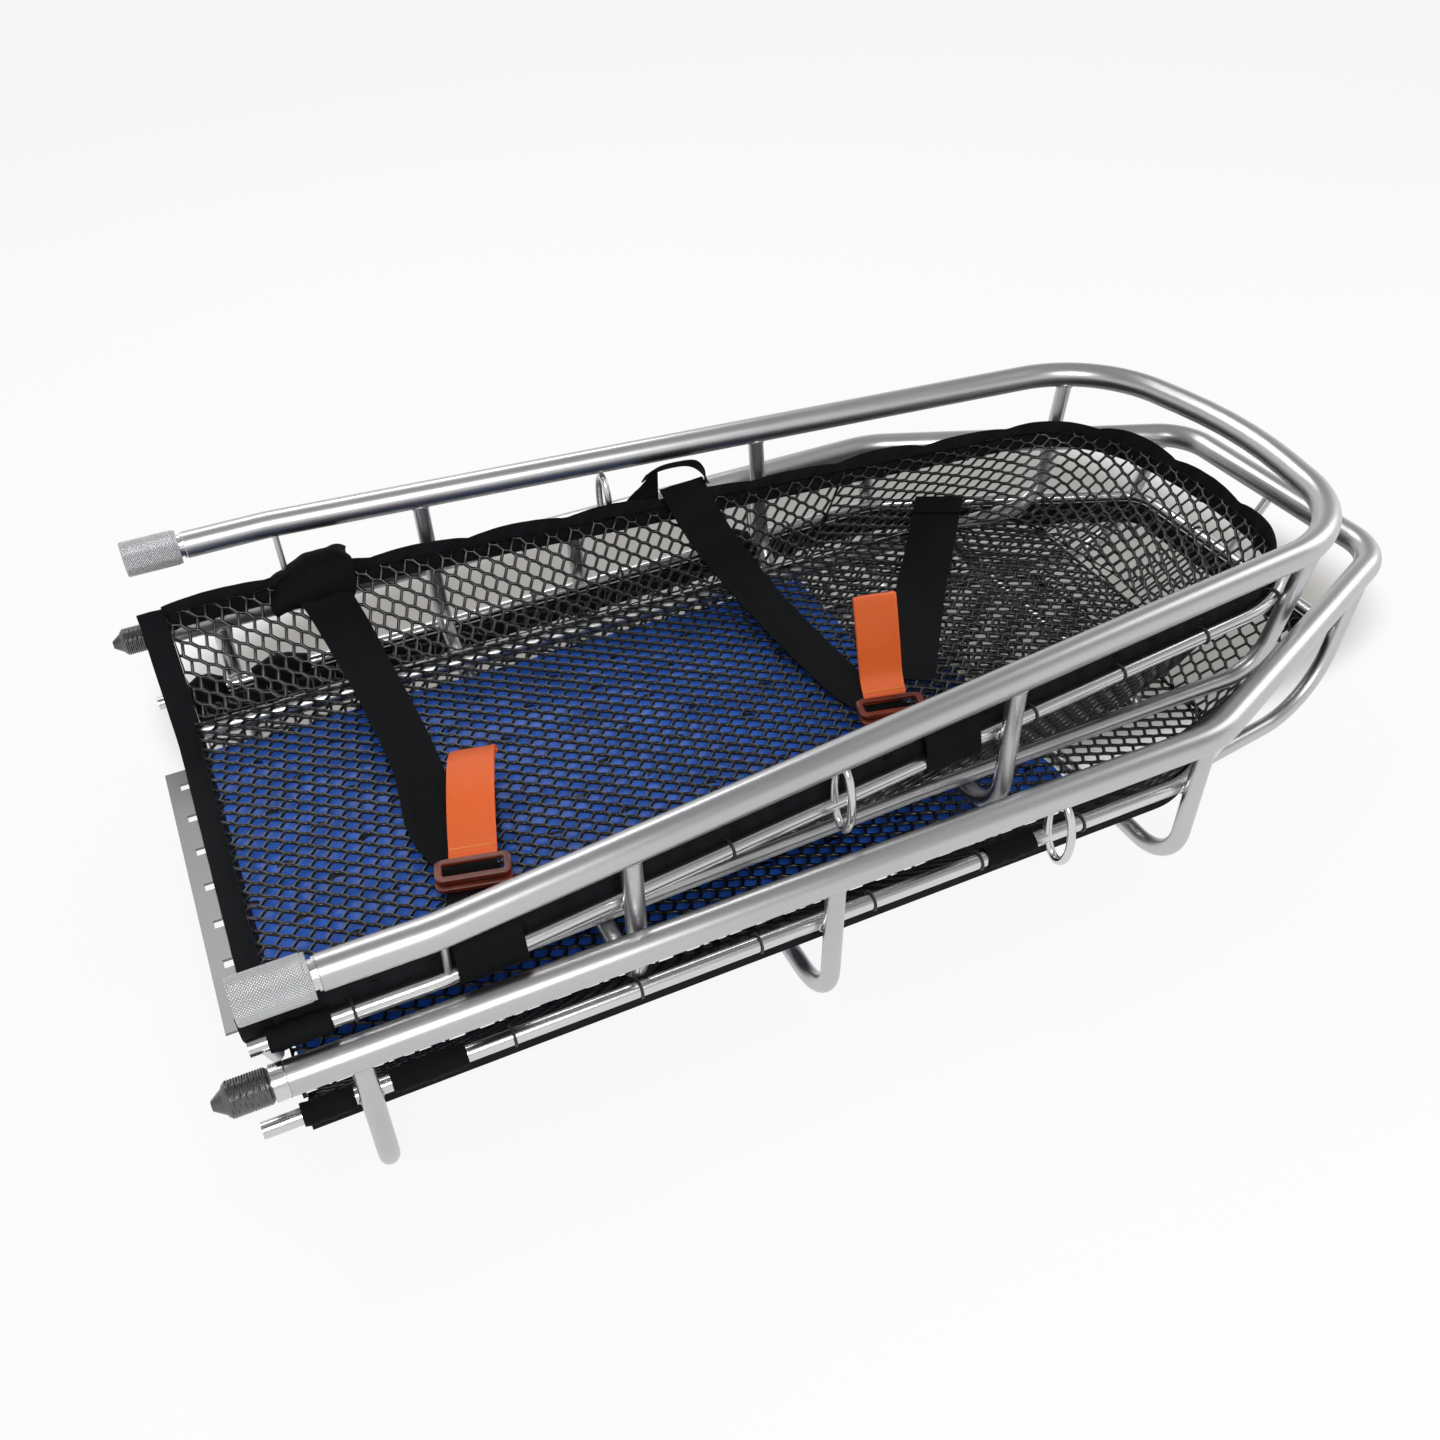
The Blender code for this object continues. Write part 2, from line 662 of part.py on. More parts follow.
def collar(name, side):
    """The coupling nut: a knurled sleeve with a threaded mouth and a back wall round the neck."""
    rear = UPPER_START - GAP - FERRULE_NECK_LENGTH
    front = rear - COLLAR_LENGTH
    bore = STUD_THREAD_R + THREAD_CLEARANCE
    wall = rear - COLLAR_BACK_WALL
    edge = 0.0008
    profile = [(front, COLLAR_R - edge), (front + edge, COLLAR_R), (rear - edge, COLLAR_R),
               (rear, COLLAR_R - edge), (rear, FERRULE_NECK_R + GAP), (wall, FERRULE_NECK_R + GAP),
               (wall, bore), (front, bore)]
    centre = (front + rear) / 2
    place = (world_x(centre), side * HALF_WIDTH, UPPER_Z)
    return turned(name, [(along - centre, radius) for along, radius in profile], place, KNURL)


def comb_plate():
    """An angle strip under the end hoop, slots cut through its bend to mesh with a mating plate."""
    skirt_x = world_x(HOOP_STATION) - HOOP_R - GAP - COMB_THICKNESS / 2
    level = UPPER_Z - HOOP_DROP + 0.0037
    corners = [(skirt_x - COMB_BEND - COMB_FLANGE, 0.0, level), (skirt_x, 0.0, level),
               (skirt_x, 0.0, level - COMB_BEND - COMB_SKIRT)]
    made = strip("upper_comb_plate", fillet(corners, [COMB_BEND]), (0.0, 2 * COMB_HALF_WIDTH, 0.0),
                 COMB_THICKNESS, STEEL)
    near = skirt_x - COMB_BEND - COMB_FLANGE + COMB_SLOT_SETBACK
    far = skirt_x + COMB_THICKNESS
    bottom = level - COMB_BEND - 0.001
    top = level + COMB_THICKNESS
    for index in range(COMB_SLOTS):
        y = COMB_PITCH * (index - (COMB_SLOTS - 1) / 2)
        bpy.ops.mesh.primitive_cube_add(size=1.0, location=((near + far) / 2, y, (bottom + top) / 2))
        slot = bpy.context.object
        slot.name = "comb_slot_%d" % (index + 1)
        slot.scale = (far - near, COMB_SLOT, top - bottom)
        for collection in list(slot.users_collection):
            collection.objects.unlink(slot)
        CUTTERS.objects.link(as_cutter(slot))
        cut(made, slot)
    return made


def end_hoop(net_cutter):
    """The bent tube that closes the upper basket's split end and carries the comb plate."""
    spread = spread_at(UPPER_NET_PLAN, HOOP_STATION)
    x = world_x(HOOP_STATION)
    corners = [(x, spread, UPPER_Z - NET_RAIL_DROP), (x, HOOP_SPREAD, UPPER_Z - HOOP_DROP),
               (x, -HOOP_SPREAD, UPPER_Z - HOOP_DROP), (x, -spread, UPPER_Z - NET_RAIL_DROP)]
    made = tube("upper_end_hoop", fillet(corners, [HOOP_BEND, HOOP_BEND]), HOOP_R)
    cut(made, net_cutter)
    return corners


def end_band(corners):
    """The webbing edge of the net at the split end, laid along the inside of the hoop."""
    inset = HOOP_R + GAP + BAND_THICKNESS / 2
    lean = math.atan2(abs(corners[0][1] - corners[1][1]), corners[0][2] - corners[1][2])
    lift = inset
    shift = inset / math.cos(lean)
    x = world_x(NET_START - END_BAND_WIDTH / 2 - 2 * GAP)
    low = corners[1][2] + lift
    slope = math.tan(lean)
    low_spread = HOOP_SPREAD + slope * lift - shift
    high = corners[0][2] - 0.012
    high_spread = corners[0][1] - shift - slope * 0.012
    path = [(x, high_spread, high), (x, low_spread, low), (x, -low_spread, low), (x, -high_spread, high)]
    bend = HOOP_BEND - inset
    return strip("upper_end_band", fillet(path, [bend, bend]), (END_BAND_WIDTH, 0.0, 0.0),
                 BAND_THICKNESS, WEBBING)


def strap_route(side, station, end_station, end_y, floor_spread):
    """A strap's path: hooked over the net rail and binding, down the net wall, over the floor."""
    spread = spread_at(UPPER_NET_PLAN, station)
    over = NET_RAIL_R + GAP + STRAP_THICKNESS / 2 + 0.003
    inner = NET_RAIL_R + 3 * GAP + BAND_THICKNESS + NET_WIRE * 1.5 + STRAP_THICKNESS / 2 + 0.0025
    floor_level = UPPER_Z - STRAP_DROP
    x = world_x(station)
    corners = [(x, side * (spread + over), UPPER_Z - NET_RAIL_DROP - 0.004),
               (x, side * (spread + over), UPPER_Z - UPPER_BAND_TOP + 0.0045),
               (x, side * (spread - inner), UPPER_Z - UPPER_BAND_TOP + 0.0045),
               (x + 0.004, side * (floor_spread - 0.010), floor_level),
               (world_x(end_station), end_y, floor_level)]
    return fillet(corners, [0.006, 0.006, 0.020])


def strap(name, route, eye=False, buckle=None):
    sweep = Vector((STRAP_WIDTH, 0.0, 0.0))
    return strip(name, route, sweep, STRAP_THICKNESS, WEBBING)


def buckle(name, place):
    """A flat frame with two slots either side of a middle bar."""
    centre = Vector((world_x(place[0]), place[1], UPPER_Z - BUCKLE_DROP))
    work = bmesh.new()
    bmesh.ops.create_cube(work, size=1.0)
    bmesh.ops.scale(work, verts=work.verts, vec=(BUCKLE_LENGTH, BUCKLE_DEPTH, BUCKLE_BAR))
    mesh = bpy.data.meshes.new(name)
    work.to_mesh(mesh)
    work.free()
    frame = finish(mesh_object(name, mesh), BUCKLE_RED)
    frame.location = centre
    frame.rotation_euler = (0.0, 0.0, BUCKLE_TURN)
    edges = frame.modifiers.new("rounding", "BEVEL")
    edges.width = 0.0008
    edges.segments = 1
    slot_depth = (BUCKLE_DEPTH - 3 * BUCKLE_BAR) / 2
    for number, offset in ((1, 1), (2, -1)):
        hole = bmesh.new()
        bmesh.ops.create_cube(hole, size=1.0)
        bmesh.ops.scale(hole, verts=hole.verts,
                        vec=(BUCKLE_LENGTH - 2 * BUCKLE_END_BAR, slot_depth, 3 * BUCKLE_BAR))
        slot_mesh = bpy.data.meshes.new(name + "_slot")
        hole.to_mesh(slot_mesh)
        hole.free()
        slot = as_cutter(mesh_object("%s_slot_%d" % (name, number), slot_mesh, CUTTERS))
        shift = Vector((0.0, offset * (slot_depth + BUCKLE_BAR) / 2, 0.0))
        slot.location = centre + Matrix.Rotation(BUCKLE_TURN, 3, "Z") @ shift
        slot.rotation_euler = (0.0, 0.0, BUCKLE_TURN)
        cut(frame, slot)
    return centre


def pull_tab(name, centre, reach):
    """A webbing tab whose eye goes round the buckle's far bar, so that it folds up."""
    turn = Matrix.Rotation(BUCKLE_TURN, 3, "Z")
    bar = centre + turn @ Vector((0.0, (BUCKLE_DEPTH - BUCKLE_BAR) / 2, 0.0))
    points = [Vector((0.0, 0.0105, -0.0013))]
    for index in range(13):
        angle = math.radians(-60.0 - 20.0 * index)
        points.append(Vector((0.0, TAB_EYE_R * math.cos(angle), TAB_EYE_R * math.sin(angle))))
    points.append(Vector((0.0, 0.0115, 0.0013)))
    points += [Vector((0.0, along, up)) for along, up in reach]
    made = strip(name, points, (TAB_WIDTH, 0.0, 0.0), STRAP_THICKNESS, ORANGE)
    made.location = bar
    made.rotation_euler = (0.0, 0.0, BUCKLE_TURN)
    return made


def build_upper_half():
    rail, rail_cutter = rail_and_cutter("upper_main_rail", UPPER_PLAN, UPPER_Z, RAIL_R, RAIL_RESOLUTION)
    net_height = UPPER_Z - NET_RAIL_DROP
    net_rail, net_cutter = rail_and_cutter("upper_net_rail", UPPER_NET_PLAN, net_height, NET_RAIL_R,
                                           TUBE_RESOLUTION)
    for number, station in enumerate(UPPER_RIBS, 1):
        rib("upper_rib_%d" % number, UPPER_PLAN, station, UPPER_Z, UPPER_LEAN, rail_cutter)
    runner_cutters = []
    for side, word in ((1, "left"), (-1, "right")):
        path = runner_path(side, NET_START, UPPER_RUNNER_KNEE, UPPER_RUNNER_TURN, UPPER_RUNNER_TOP,
                           UPPER_PLAN, UPPER_Z, UPPER_RUNNER_BEND)
        cut(tube("upper_runner_" + word, path, RUNNER_R), rail_cutter)
        runner_cutters.append(tube_cutter("upper_runner_%s_cutter" % word, path, RUNNER_R, TUBE_RESOLUTION))
        lift_ring("upper_lift_ring_" + word, side, UPPER_PLAN, UPPER_INSET, UPPER_RING_STATION,
                  UPPER_Z, net_cutter)
        tie_rod("upper_tie_rod_" + word, side, TIE_STATION, UPPER_Z, rail_cutter, net_cutter)
        ferrule("upper_ferrule_" + word, side)
        collar("upper_collar_" + word, side)
    spread = cross_tube_spread()
    ends = [Vector((world_x(CROSS_TUBE_STATION), side * spread, UPPER_Z - RUNNER_DROP))
            for side in (1, -1)]
    cross = tube("upper_cross_tube", ends, CROSS_TUBE_R)
    for cutter in runner_cutters:
        cut(cross, cutter)
    end_band(end_hoop(net_cutter))
    comb_plate()
    binding("upper_net_binding", UPPER_NET_PLAN, UPPER_Z, UPPER_BAND_TOP)
    net("upper", UPPER_NET_PLAN, UPPER_Z, UPPER_BAND_TOP + 0.008, UPPER_FLOOR)
    bed_panel("upper_bed_panel", UPPER_Z, UPPER_BED_END)
    build_straps()


def cross_tube_spread():
    knee, turn = UPPER_RUNNER_KNEE, UPPER_RUNNER_TURN
    share = (CROSS_TUBE_STATION - knee[0]) / (turn[0] - knee[0])
    return knee[1] + (turn[1] - knee[1]) * share


def build_straps():
    for number, station, place in ((1, STRAP_1_STATION, BUCKLE_1), (2, STRAP_2_STATION, BUCKLE_2)):
        floor_spread = NET_FLOOR_SPREAD - 0.016 * (number - 1)
        far = strap_route(1, station, place[0], place[1] + 0.004, floor_spread)
        near = strap_route(-1, station + 0.006, place[0], place[1] - 0.004, floor_spread)
        strap("strap_%d_far" % number, far)
        strap("strap_%d_near" % number, near)
    flat_reach = ((0.030, 0.016), (0.055, 0.028), (0.085, 0.033), (0.108, 0.028), (0.118, 0.020))
    raised_reach = ((0.018, 0.012), (0.030, 0.042), (0.042, 0.072), (0.050, 0.090))
    pull_tab("pull_tab_1", buckle("buckle_1", BUCKLE_1), flat_reach)
    pull_tab("pull_tab_2", buckle("buckle_2", BUCKLE_2), raised_reach)
    tail = [Vector((world_x(0.672), -0.050, UPPER_Z - STRAP_DROP - 0.5 * NET_SAG)),
            Vector((world_x(0.765), 0.080, UPPER_Z - STRAP_DROP - 0.2 * NET_SAG)),
            Vector((world_x(0.832), 0.160, UPPER_Z - STRAP_DROP + 0.042))]
    along = (tail[1] - tail[0]).normalized()
    across = Vector((along.y, -along.x, 0.0)) * STRAP_WIDTH
    strip("strap_2_tail", fillet(tail, [0.06]), across, STRAP_THICKNESS, WEBBING)


def gather_upper_half():
    """Hang the pieces of the upper half on one empty at its rail height."""
    lift = bpy.data.objects.new("upper_half_lift", None)
    PARTS.objects.link(lift)
    lift.location = (0.0, 0.0, UPPER_Z)
    bpy.context.view_layer.update()
    for obj in PARTS.objects:
        if obj.type == "MESH" and not obj.name.startswith("lower_"):
            obj.parent = lift
            obj.matrix_parent_inverse = lift.matrix_world.inverted()


build_lower_half()
build_upper_half()
gather_upper_half()
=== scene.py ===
import math
import random

import bmesh
import bpy
from mathutils import Matrix, Vector


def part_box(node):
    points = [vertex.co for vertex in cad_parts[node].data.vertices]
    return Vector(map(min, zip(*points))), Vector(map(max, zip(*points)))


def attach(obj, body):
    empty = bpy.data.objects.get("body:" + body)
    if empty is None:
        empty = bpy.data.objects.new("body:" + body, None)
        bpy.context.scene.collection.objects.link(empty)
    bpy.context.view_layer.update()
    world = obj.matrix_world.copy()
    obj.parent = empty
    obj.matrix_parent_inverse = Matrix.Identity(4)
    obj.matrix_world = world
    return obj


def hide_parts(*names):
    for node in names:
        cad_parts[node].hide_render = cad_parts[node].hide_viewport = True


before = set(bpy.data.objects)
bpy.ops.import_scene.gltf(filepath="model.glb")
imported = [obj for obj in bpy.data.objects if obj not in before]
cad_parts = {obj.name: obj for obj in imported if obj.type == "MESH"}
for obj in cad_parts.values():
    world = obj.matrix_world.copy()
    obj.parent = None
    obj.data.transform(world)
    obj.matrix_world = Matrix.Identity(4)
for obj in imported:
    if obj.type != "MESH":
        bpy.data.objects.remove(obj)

bl_info = {
    "name": "Basket stretcher looks",
    "version": (1, 0, 0),
    "blender": (4, 5, 0),
    "location": "3D Viewport > Sidebar > Stretcher",
    "description": "Builds the visible tubes, nets, webbing and stage of the basket stretcher",
    "category": "Object",
}

# Sizes shared with the solid model, in metres
GAP = 0.0003
RAIL_R = 0.0127
RIB_R = 0.00795
RUNNER_R = 0.00795
NET_RAIL_R = 0.00635
HOOP_R = 0.006
CROSS_TUBE_R = 0.0065
POST_R = 0.005
RING_R = 0.0036
TIE_R = 0.003
NET_WIRE = 0.0016
BAND_THICKNESS = 0.0015
STRAP_THICKNESS = 0.0016
TAB_EYE_R = 0.0040
RIB_DROP = 0.160
NET_RAIL_DROP = 0.065
HOOP_DROP = 0.162
STACK = 0.085
HALF_WIDTH = 0.2925
RIB_BEND = 0.050
LOWER_LEAN = 0.076
LENGTH = 1.143 + RAIL_R
LOWER_Z = RIB_DROP + RIB_R
UPPER_Z = LOWER_Z + STACK
RUNNER_DROP = RIB_DROP - RIB_R - RUNNER_R - GAP
FLOOR_DROP = RUNNER_DROP - RUNNER_R - GAP - NET_WIRE / 2
STRAP_DROP = FLOOR_DROP - NET_WIRE / 2 - GAP - STRAP_THICKNESS / 2
BUCKLE_DROP = STRAP_DROP - STRAP_THICKNESS - TAB_EYE_R - GAP
BUCKLE_TURN = math.radians(-14.0)
BUCKLES = {1: (0.2255, -0.117), 2: (0.6305, -0.0895)}
NET_SAG = 0.0025
NET_START = 0.0540
FLOOR_HALF = 0.198
NOSE_GAP = 0.012
FOOT_HALF = 0.200
KNEE_BEND = 0.20
BED_START = 0.053
BED_HALF = 0.171
HOOP_STATION = 0.0425
HOOP_CORNER = 0.03
TIE_STATION = 0.170
TIE_SHIFT = 0.004
CROSS_STATION = 0.845
RING_BOTTOM_DROP = 0.0785
RING_SHIFT = 0.004
STRAP_STATIONS = {1: 0.203, 2: 0.588}
TAB_WIDTH = 0.040
BAND_TOP = {"upper": 0.042, "lower": 0.0665}
BAND_HEIGHT = 0.026
NET_TOP = {"upper": 0.0505, "lower": 0.0700}

# The nets: how the cells of each floor are turned, how much thicker its strands are than a wall's,
# where along the wall its nose panel starts and ends, and the rounding and margin of the floor's edge
FLOOR_TURN = {"upper": math.radians(-38.0), "lower": math.radians(-24.0)}
FLOOR_STRAND = 1.17
NOSE_SHARES = (0.3095, 0.6905)
FLOOR_BENDS = [0.1, 0.03]
FLOOR_MARGIN = 0.003

# Each floor net's bend and corner, as station and half width, and the station of its nose
FLOORS = {"upper": ((0.805, 0.176), (0.925, 0.140), 0.945), "lower": ((0.765, 0.198), (0.945, 0.150), 0.975)}

# Fineness of the arcs and beads, and the length of a bead where a net rail meets a rib
ARC_STEP = math.radians(5.0)
BEAD_POINTS = 22
SHORT_BEAD = 0.016

# Clear room of a tie cord beside a rib or ring, and a tab's seam: its width and its reach from the bar
TIE_CLEARANCE = 0.016
SEAM_WIDTH = 0.0385
SEAM_REACH = 0.012

# The studs and collars: each profile holds distances along X and radii
STUD_LENGTH = 0.0485
STUD_STEP = 0.0002
THREAD_START = 0.0115
THREAD_END = 0.0365
THREAD_DEPTH = 0.0007
STUD_PROFILE = [(0.0, 0.0), (0.0, 0.0035), (0.0085, 0.0095), (0.0085, 0.0105), (THREAD_START, 0.0132),
                (THREAD_END, 0.0132), (0.0385, 0.0112), (0.0500, 0.0112)]
STUD_TIP = [(0.0, 0.0), (0.0, 0.0032), (0.0004, 0.0036)]
SHOULDER = [(0.0392, 0.0108), (0.0392, 0.0123), (0.0400, 0.0131), (0.0490, 0.0131), (0.0500, 0.0123),
            (0.0500, 0.0110)]
COLLAR_REAR = 0.0893 - GAP - 0.005
COLLAR_LENGTH = 0.050
COLLAR_WALL = 0.010

# The floor's patch of painted shadow under the stretcher: middle and reach in metres, lean, and tones, its
# glow painted light
SHADOW_PATCH_MIDDLE = (0.09, 0.22)
SHADOW_PATCH_REACH = (0.59, 0.33)
SHADOW_PATCH_LEAN = 0.20
BACKGROUND_WHITE = 0.88
SHADOW_PATCH_GLOW = 0.52

# The photograph's camera, solved from the rails, in metres, radians and millimetres of lens
CAMERA_PLACE = (-0.4834, -0.9572, 0.9291)
CAMERA_TURN, CAMERA_RISE, CAMERA_ROLL = -0.3994, 0.6744, -0.0527
CAMERA_LENS = 35.335

# The blue beds' slits, painted near-black as the shade in openings, in metres on the sheet
SLIT_PITCH = 0.072
SLIT_ROW = 0.036
SLIT_HALF = 0.0075
SLIT_THICKNESS = 0.0022

LOOKS = bpy.data.collections.new("looks")
STAGE = bpy.data.collections.new("stage")
bpy.context.scene.collection.children.link(LOOKS)
bpy.context.scene.collection.children.link(STAGE)


def world_x(station):
    return station - LENGTH / 2


# Plans of the rails

def fillet(points, radii):
    """Round each inner corner of a path with an arc of the given radius."""
    path = [Vector(points[0])]
    for index in range(1, len(points) - 1):
        corner = Vector(points[index])
        into = (corner - Vector(points[index - 1])).normalized()
        out = (Vector(points[index + 1]) - corner).normalized()
        turn = into.angle(out)
        radius = radii[index - 1]
        if turn < math.radians(0.5) or radius <= 0.0:
            path.append(corner)
            continue
        reach = radius * math.tan(turn / 2)
        inward = (out - into * into.dot(out)).normalized()
        centre = corner - into * reach + inward * radius
        steps = max(2, math.ceil(turn / ARC_STEP))
        for count in range(steps + 1):
            angle = turn * count / steps
            path.append(centre - inward * radius * math.cos(angle) + into * radius * math.sin(angle))
    path.append(Vector(points[-1]))
    return path


def offset_line(start, end, inset):
    along = (Vector(end) - Vector(start)).normalized()
    return Vector(start) + Vector((along.y, -along.x)) * inset, along


def meet(first, second):
    point, along = first
    other, way = second
    denominator = along.x * way.y - along.y * way.x
    reach = ((other.x - point.x) * way.y - (other.y - point.y) * way.x) / denominator
    return point + along * reach


def inset_plan(plan, start, inset, nose_inset, corner_radius=None):
    """A plan moved inward, with its own start station and a deeper inset at the nose."""
    points, nose, radii, nose_radius = plan
    side = offset_line(points[0], points[1], inset)
    taper = offset_line(points[1], points[2], inset)
    front = offset_line(points[2], nose, nose_inset)
    centre = (Vector((0.0, 0.0)), Vector((1.0, 0.0)))
    corner = meet(taper, front)
    rounded = [max(radii[0] - inset, 0.02), corner_radius or max(radii[1] - inset, 0.02)]
    return ([(start, points[0][1] - inset), tuple(meet(side, taper)), tuple(corner)],
            tuple(meet(front, centre)), rounded, nose_radius)


def half_path(plan):
    points, nose, radii, nose_radius = plan
    if nose_radius > 0.0:
        mirrored = (points[2][0], -points[2][1])
        whole = fillet([(*point, 0.0) for point in (*points, nose, mirrored)], [*radii, nose_radius])
        front = [place for place in whole[:-1] if place.y > 0.0005]
        tip = max(whole, key=lambda place: place.x)
        return front + [Vector((tip.x, 0.0, 0.0))]
    return fillet([(*point, 0.0) for point in (*points, nose)], radii)


def loop_path(plan, height):
    """A plan's whole path in world places, from the left split end round the nose to the right."""
    left = [Vector((world_x(place.x), place.y, height)) for place in half_path(plan)]
    right = [Vector((place.x, -place.y, place.z)) for place in reversed(left[:-1])]
    return left + right


def spread_at(plan, station):
    path = half_path(plan)
    for first, second in zip(path, path[1:]):
        if first.x <= station <= second.x:
            share = (station - first.x) / (second.x - first.x)
            return first.y + (second.y - first.y) * share
    return path[0].y if station < path[0].x else path[-1].y


LOWER_PLAN = ([(0.050, HALF_WIDTH), (0.820, HALF_WIDTH), (1.143, 0.143)], (1.143, 0.0), [0.10, 0.055], 0.0)
UPPER_PLAN = ([(0.0893, HALF_WIDTH), (0.1663, HALF_WIDTH), (1.045, 0.195)], (1.083, 0.0), [0.15, 0.12], 0.40)
UPPER_LEAN = (spread_at(UPPER_PLAN, 0.309) - (HALF_WIDTH - RAIL_R - GAP - RIB_R)) / STACK
LOWER_INSET = LOWER_LEAN * NET_RAIL_DROP + RIB_R + GAP + NET_RAIL_R
UPPER_INSET = UPPER_LEAN * NET_RAIL_DROP + RIB_R + GAP + NET_RAIL_R
LOWER_NET_PLAN = inset_plan(LOWER_PLAN, 0.021, LOWER_INSET, 0.048)
UPPER_NET_PLAN = inset_plan(UPPER_PLAN, 0.032, UPPER_INSET, 0.026, 0.12)


def path_lengths(path):
    lengths = [0.0]
    for first, second in zip(path, path[1:]):
        lengths.append(lengths[-1] + (second - first).length)
    return lengths


def along_path(path):
    """A function from a share of a path's length to its place."""
    lengths = path_lengths(path)

    def place(share):
        goal = min(max(share, 0.0), 1.0) * lengths[-1]
        low, high = 0, len(path) - 1
        while high - low > 1:
            middle = (low + high) // 2
            if lengths[middle] <= goal:
                low = middle
            else:
                high = middle
        return path[low].lerp(path[high], (goal - lengths[low]) / (lengths[high] - lengths[low]))

    return place


# Node groups and materials

def add_node(tree, kind, **settings):
    node = tree.nodes.new(kind)
    for name, value in settings.items():
        setattr(node, name, value)
    return node


def math_node(tree, operation, first, second=None, third=None):
    node = add_node(tree, "ShaderNodeMath", operation=operation)
    for index, value in enumerate((first, second, third)):
        if value is None:
            continue
        if isinstance(value, (int, float)):
            node.inputs[index].default_value = value
        else:
            tree.links.new(value, node.inputs[index])
    return node.outputs[0]


def new_group(name, inputs, outputs):
    tree = bpy.data.node_groups.new(name, "ShaderNodeTree")
    for word, kind, value in inputs:
        socket = tree.interface.new_socket(word, in_out="INPUT", socket_type=kind)
        if value is not None:
            socket.default_value = value
    for word, kind in outputs:
        tree.interface.new_socket(word, in_out="OUTPUT", socket_type=kind)
    return tree, add_node(tree, "NodeGroupInput"), add_node(tree, "NodeGroupOutput")


def with_relief(tree, start, end, height, distance):
    """The group's normal, raised by a height over a distance as strongly as its depth says."""
    bump = add_node(tree, "ShaderNodeBump")
    bump.inputs["Distance"].default_value = distance
    tree.links.new(height, bump.inputs["Height"])
    tree.links.new(start.outputs["Depth"], bump.inputs["Strength"])
    tree.links.new(bump.outputs["Normal"], end.inputs["Normal"])
    return tree


def variation_group():
    """Soft blotches and fine grain, as a mask and a normal."""
    tree, start, end = new_group(
        "surface_variation",
        [("Vector", "NodeSocketVector", None), ("Blotch", "NodeSocketFloat", 14.0),
         ("Grain", "NodeSocketFloat", 900.0), ("Depth", "NodeSocketFloat", 0.08)],
        [("Mask", "NodeSocketFloat"), ("Normal", "NodeSocketVector")])
    blotch = add_node(tree, "ShaderNodeTexNoise")
    blotch.inputs["Detail"].default_value = 4.0
    grain = add_node(tree, "ShaderNodeTexNoise")
    grain.inputs["Detail"].default_value = 2.0
    tree.links.new(start.outputs["Vector"], blotch.inputs["Vector"])
    tree.links.new(start.outputs["Vector"], grain.inputs["Vector"])
    tree.links.new(start.outputs["Blotch"], blotch.inputs["Scale"])
    tree.links.new(start.outputs["Grain"], grain.inputs["Scale"])
    mixed = math_node(tree, "MULTIPLY_ADD", grain.outputs["Fac"], 0.35, blotch.outputs["Fac"])
    tree.links.new(math_node(tree, "MULTIPLY", mixed, 0.74), end.inputs["Mask"])
    return with_relief(tree, start, end, grain.outputs["Fac"], 0.0006)


def weave_group():
    """Ribs of woven webbing from a metric map: across and along, as a mask and a normal."""
    tree, start, end = new_group(
        "webbing_weave",
        [("Vector", "NodeSocketVector", None), ("Across", "NodeSocketFloat", 4200.0),
         ("Along", "NodeSocketFloat", 2600.0), ("Depth", "NodeSocketFloat", 0.5)],
        [("Mask", "NodeSocketFloat"), ("Normal", "NodeSocketVector")])
    parts = add_node(tree, "ShaderNodeSeparateXYZ")
    tree.links.new(start.outputs["Vector"], parts.inputs["Vector"])
    across = math_node(tree, "SINE", math_node(tree, "MULTIPLY", parts.outputs["X"], start.outputs["Across"]))
    along = math_node(tree, "SINE", math_node(tree, "MULTIPLY", parts.outputs["Y"], start.outputs["Along"]))
    woven = math_node(tree, "MULTIPLY_ADD", across, 0.25, math_node(tree, "MULTIPLY", along, 0.25))
    height = math_node(tree, "ADD", woven, 0.5)
    tree.links.new(height, end.inputs["Mask"])
    return with_relief(tree, start, end, height, 0.0004)


def knurl_group():
    """Fine diamond knurling round an axis along X that lies at the half width to either side."""
    tree, start, end = new_group(
        "diamond_knurl",
        [("Vector", "NodeSocketVector", None), ("Axis height", "NodeSocketFloat", UPPER_Z),
         ("Axis spread", "NodeSocketFloat", HALF_WIDTH), ("Depth", "NodeSocketFloat", 1.0)],
        [("Mask", "NodeSocketFloat"), ("Normal", "NodeSocketVector")])
    parts = add_node(tree, "ShaderNodeSeparateXYZ")
    tree.links.new(start.outputs["Vector"], parts.inputs["Vector"])
    reach = math_node(tree, "ABSOLUTE", parts.outputs["Y"])
    side = math_node(tree, "SUBTRACT", reach, start.outputs["Axis spread"])
    rise = math_node(tree, "SUBTRACT", parts.outputs["Z"], start.outputs["Axis height"])
    turn = math_node(tree, "MULTIPLY", math_node(tree, "ARCTAN2", side, rise), 23.0)
    run = math_node(tree, "MULTIPLY", parts.outputs["X"], 1400.0)
    first = math_node(tree, "ABSOLUTE", math_node(tree, "SINE", math_node(tree, "ADD", turn, run)))
    second = math_node(tree, "ABSOLUTE", math_node(tree, "SINE", math_node(tree, "SUBTRACT", turn, run)))
    height = math_node(tree, "MULTIPLY", first, second)
    tree.links.new(height, end.inputs["Mask"])
    return with_relief(tree, start, end, height, 0.0005)


def use_group(tree, group, vector, **inputs):
    node = add_node(tree, "ShaderNodeGroup", node_tree=group)
    tree.links.new(vector, node.inputs["Vector"])
    for name, value in inputs.items():
        node.inputs[name.replace("_", " ")].default_value = value
    return node


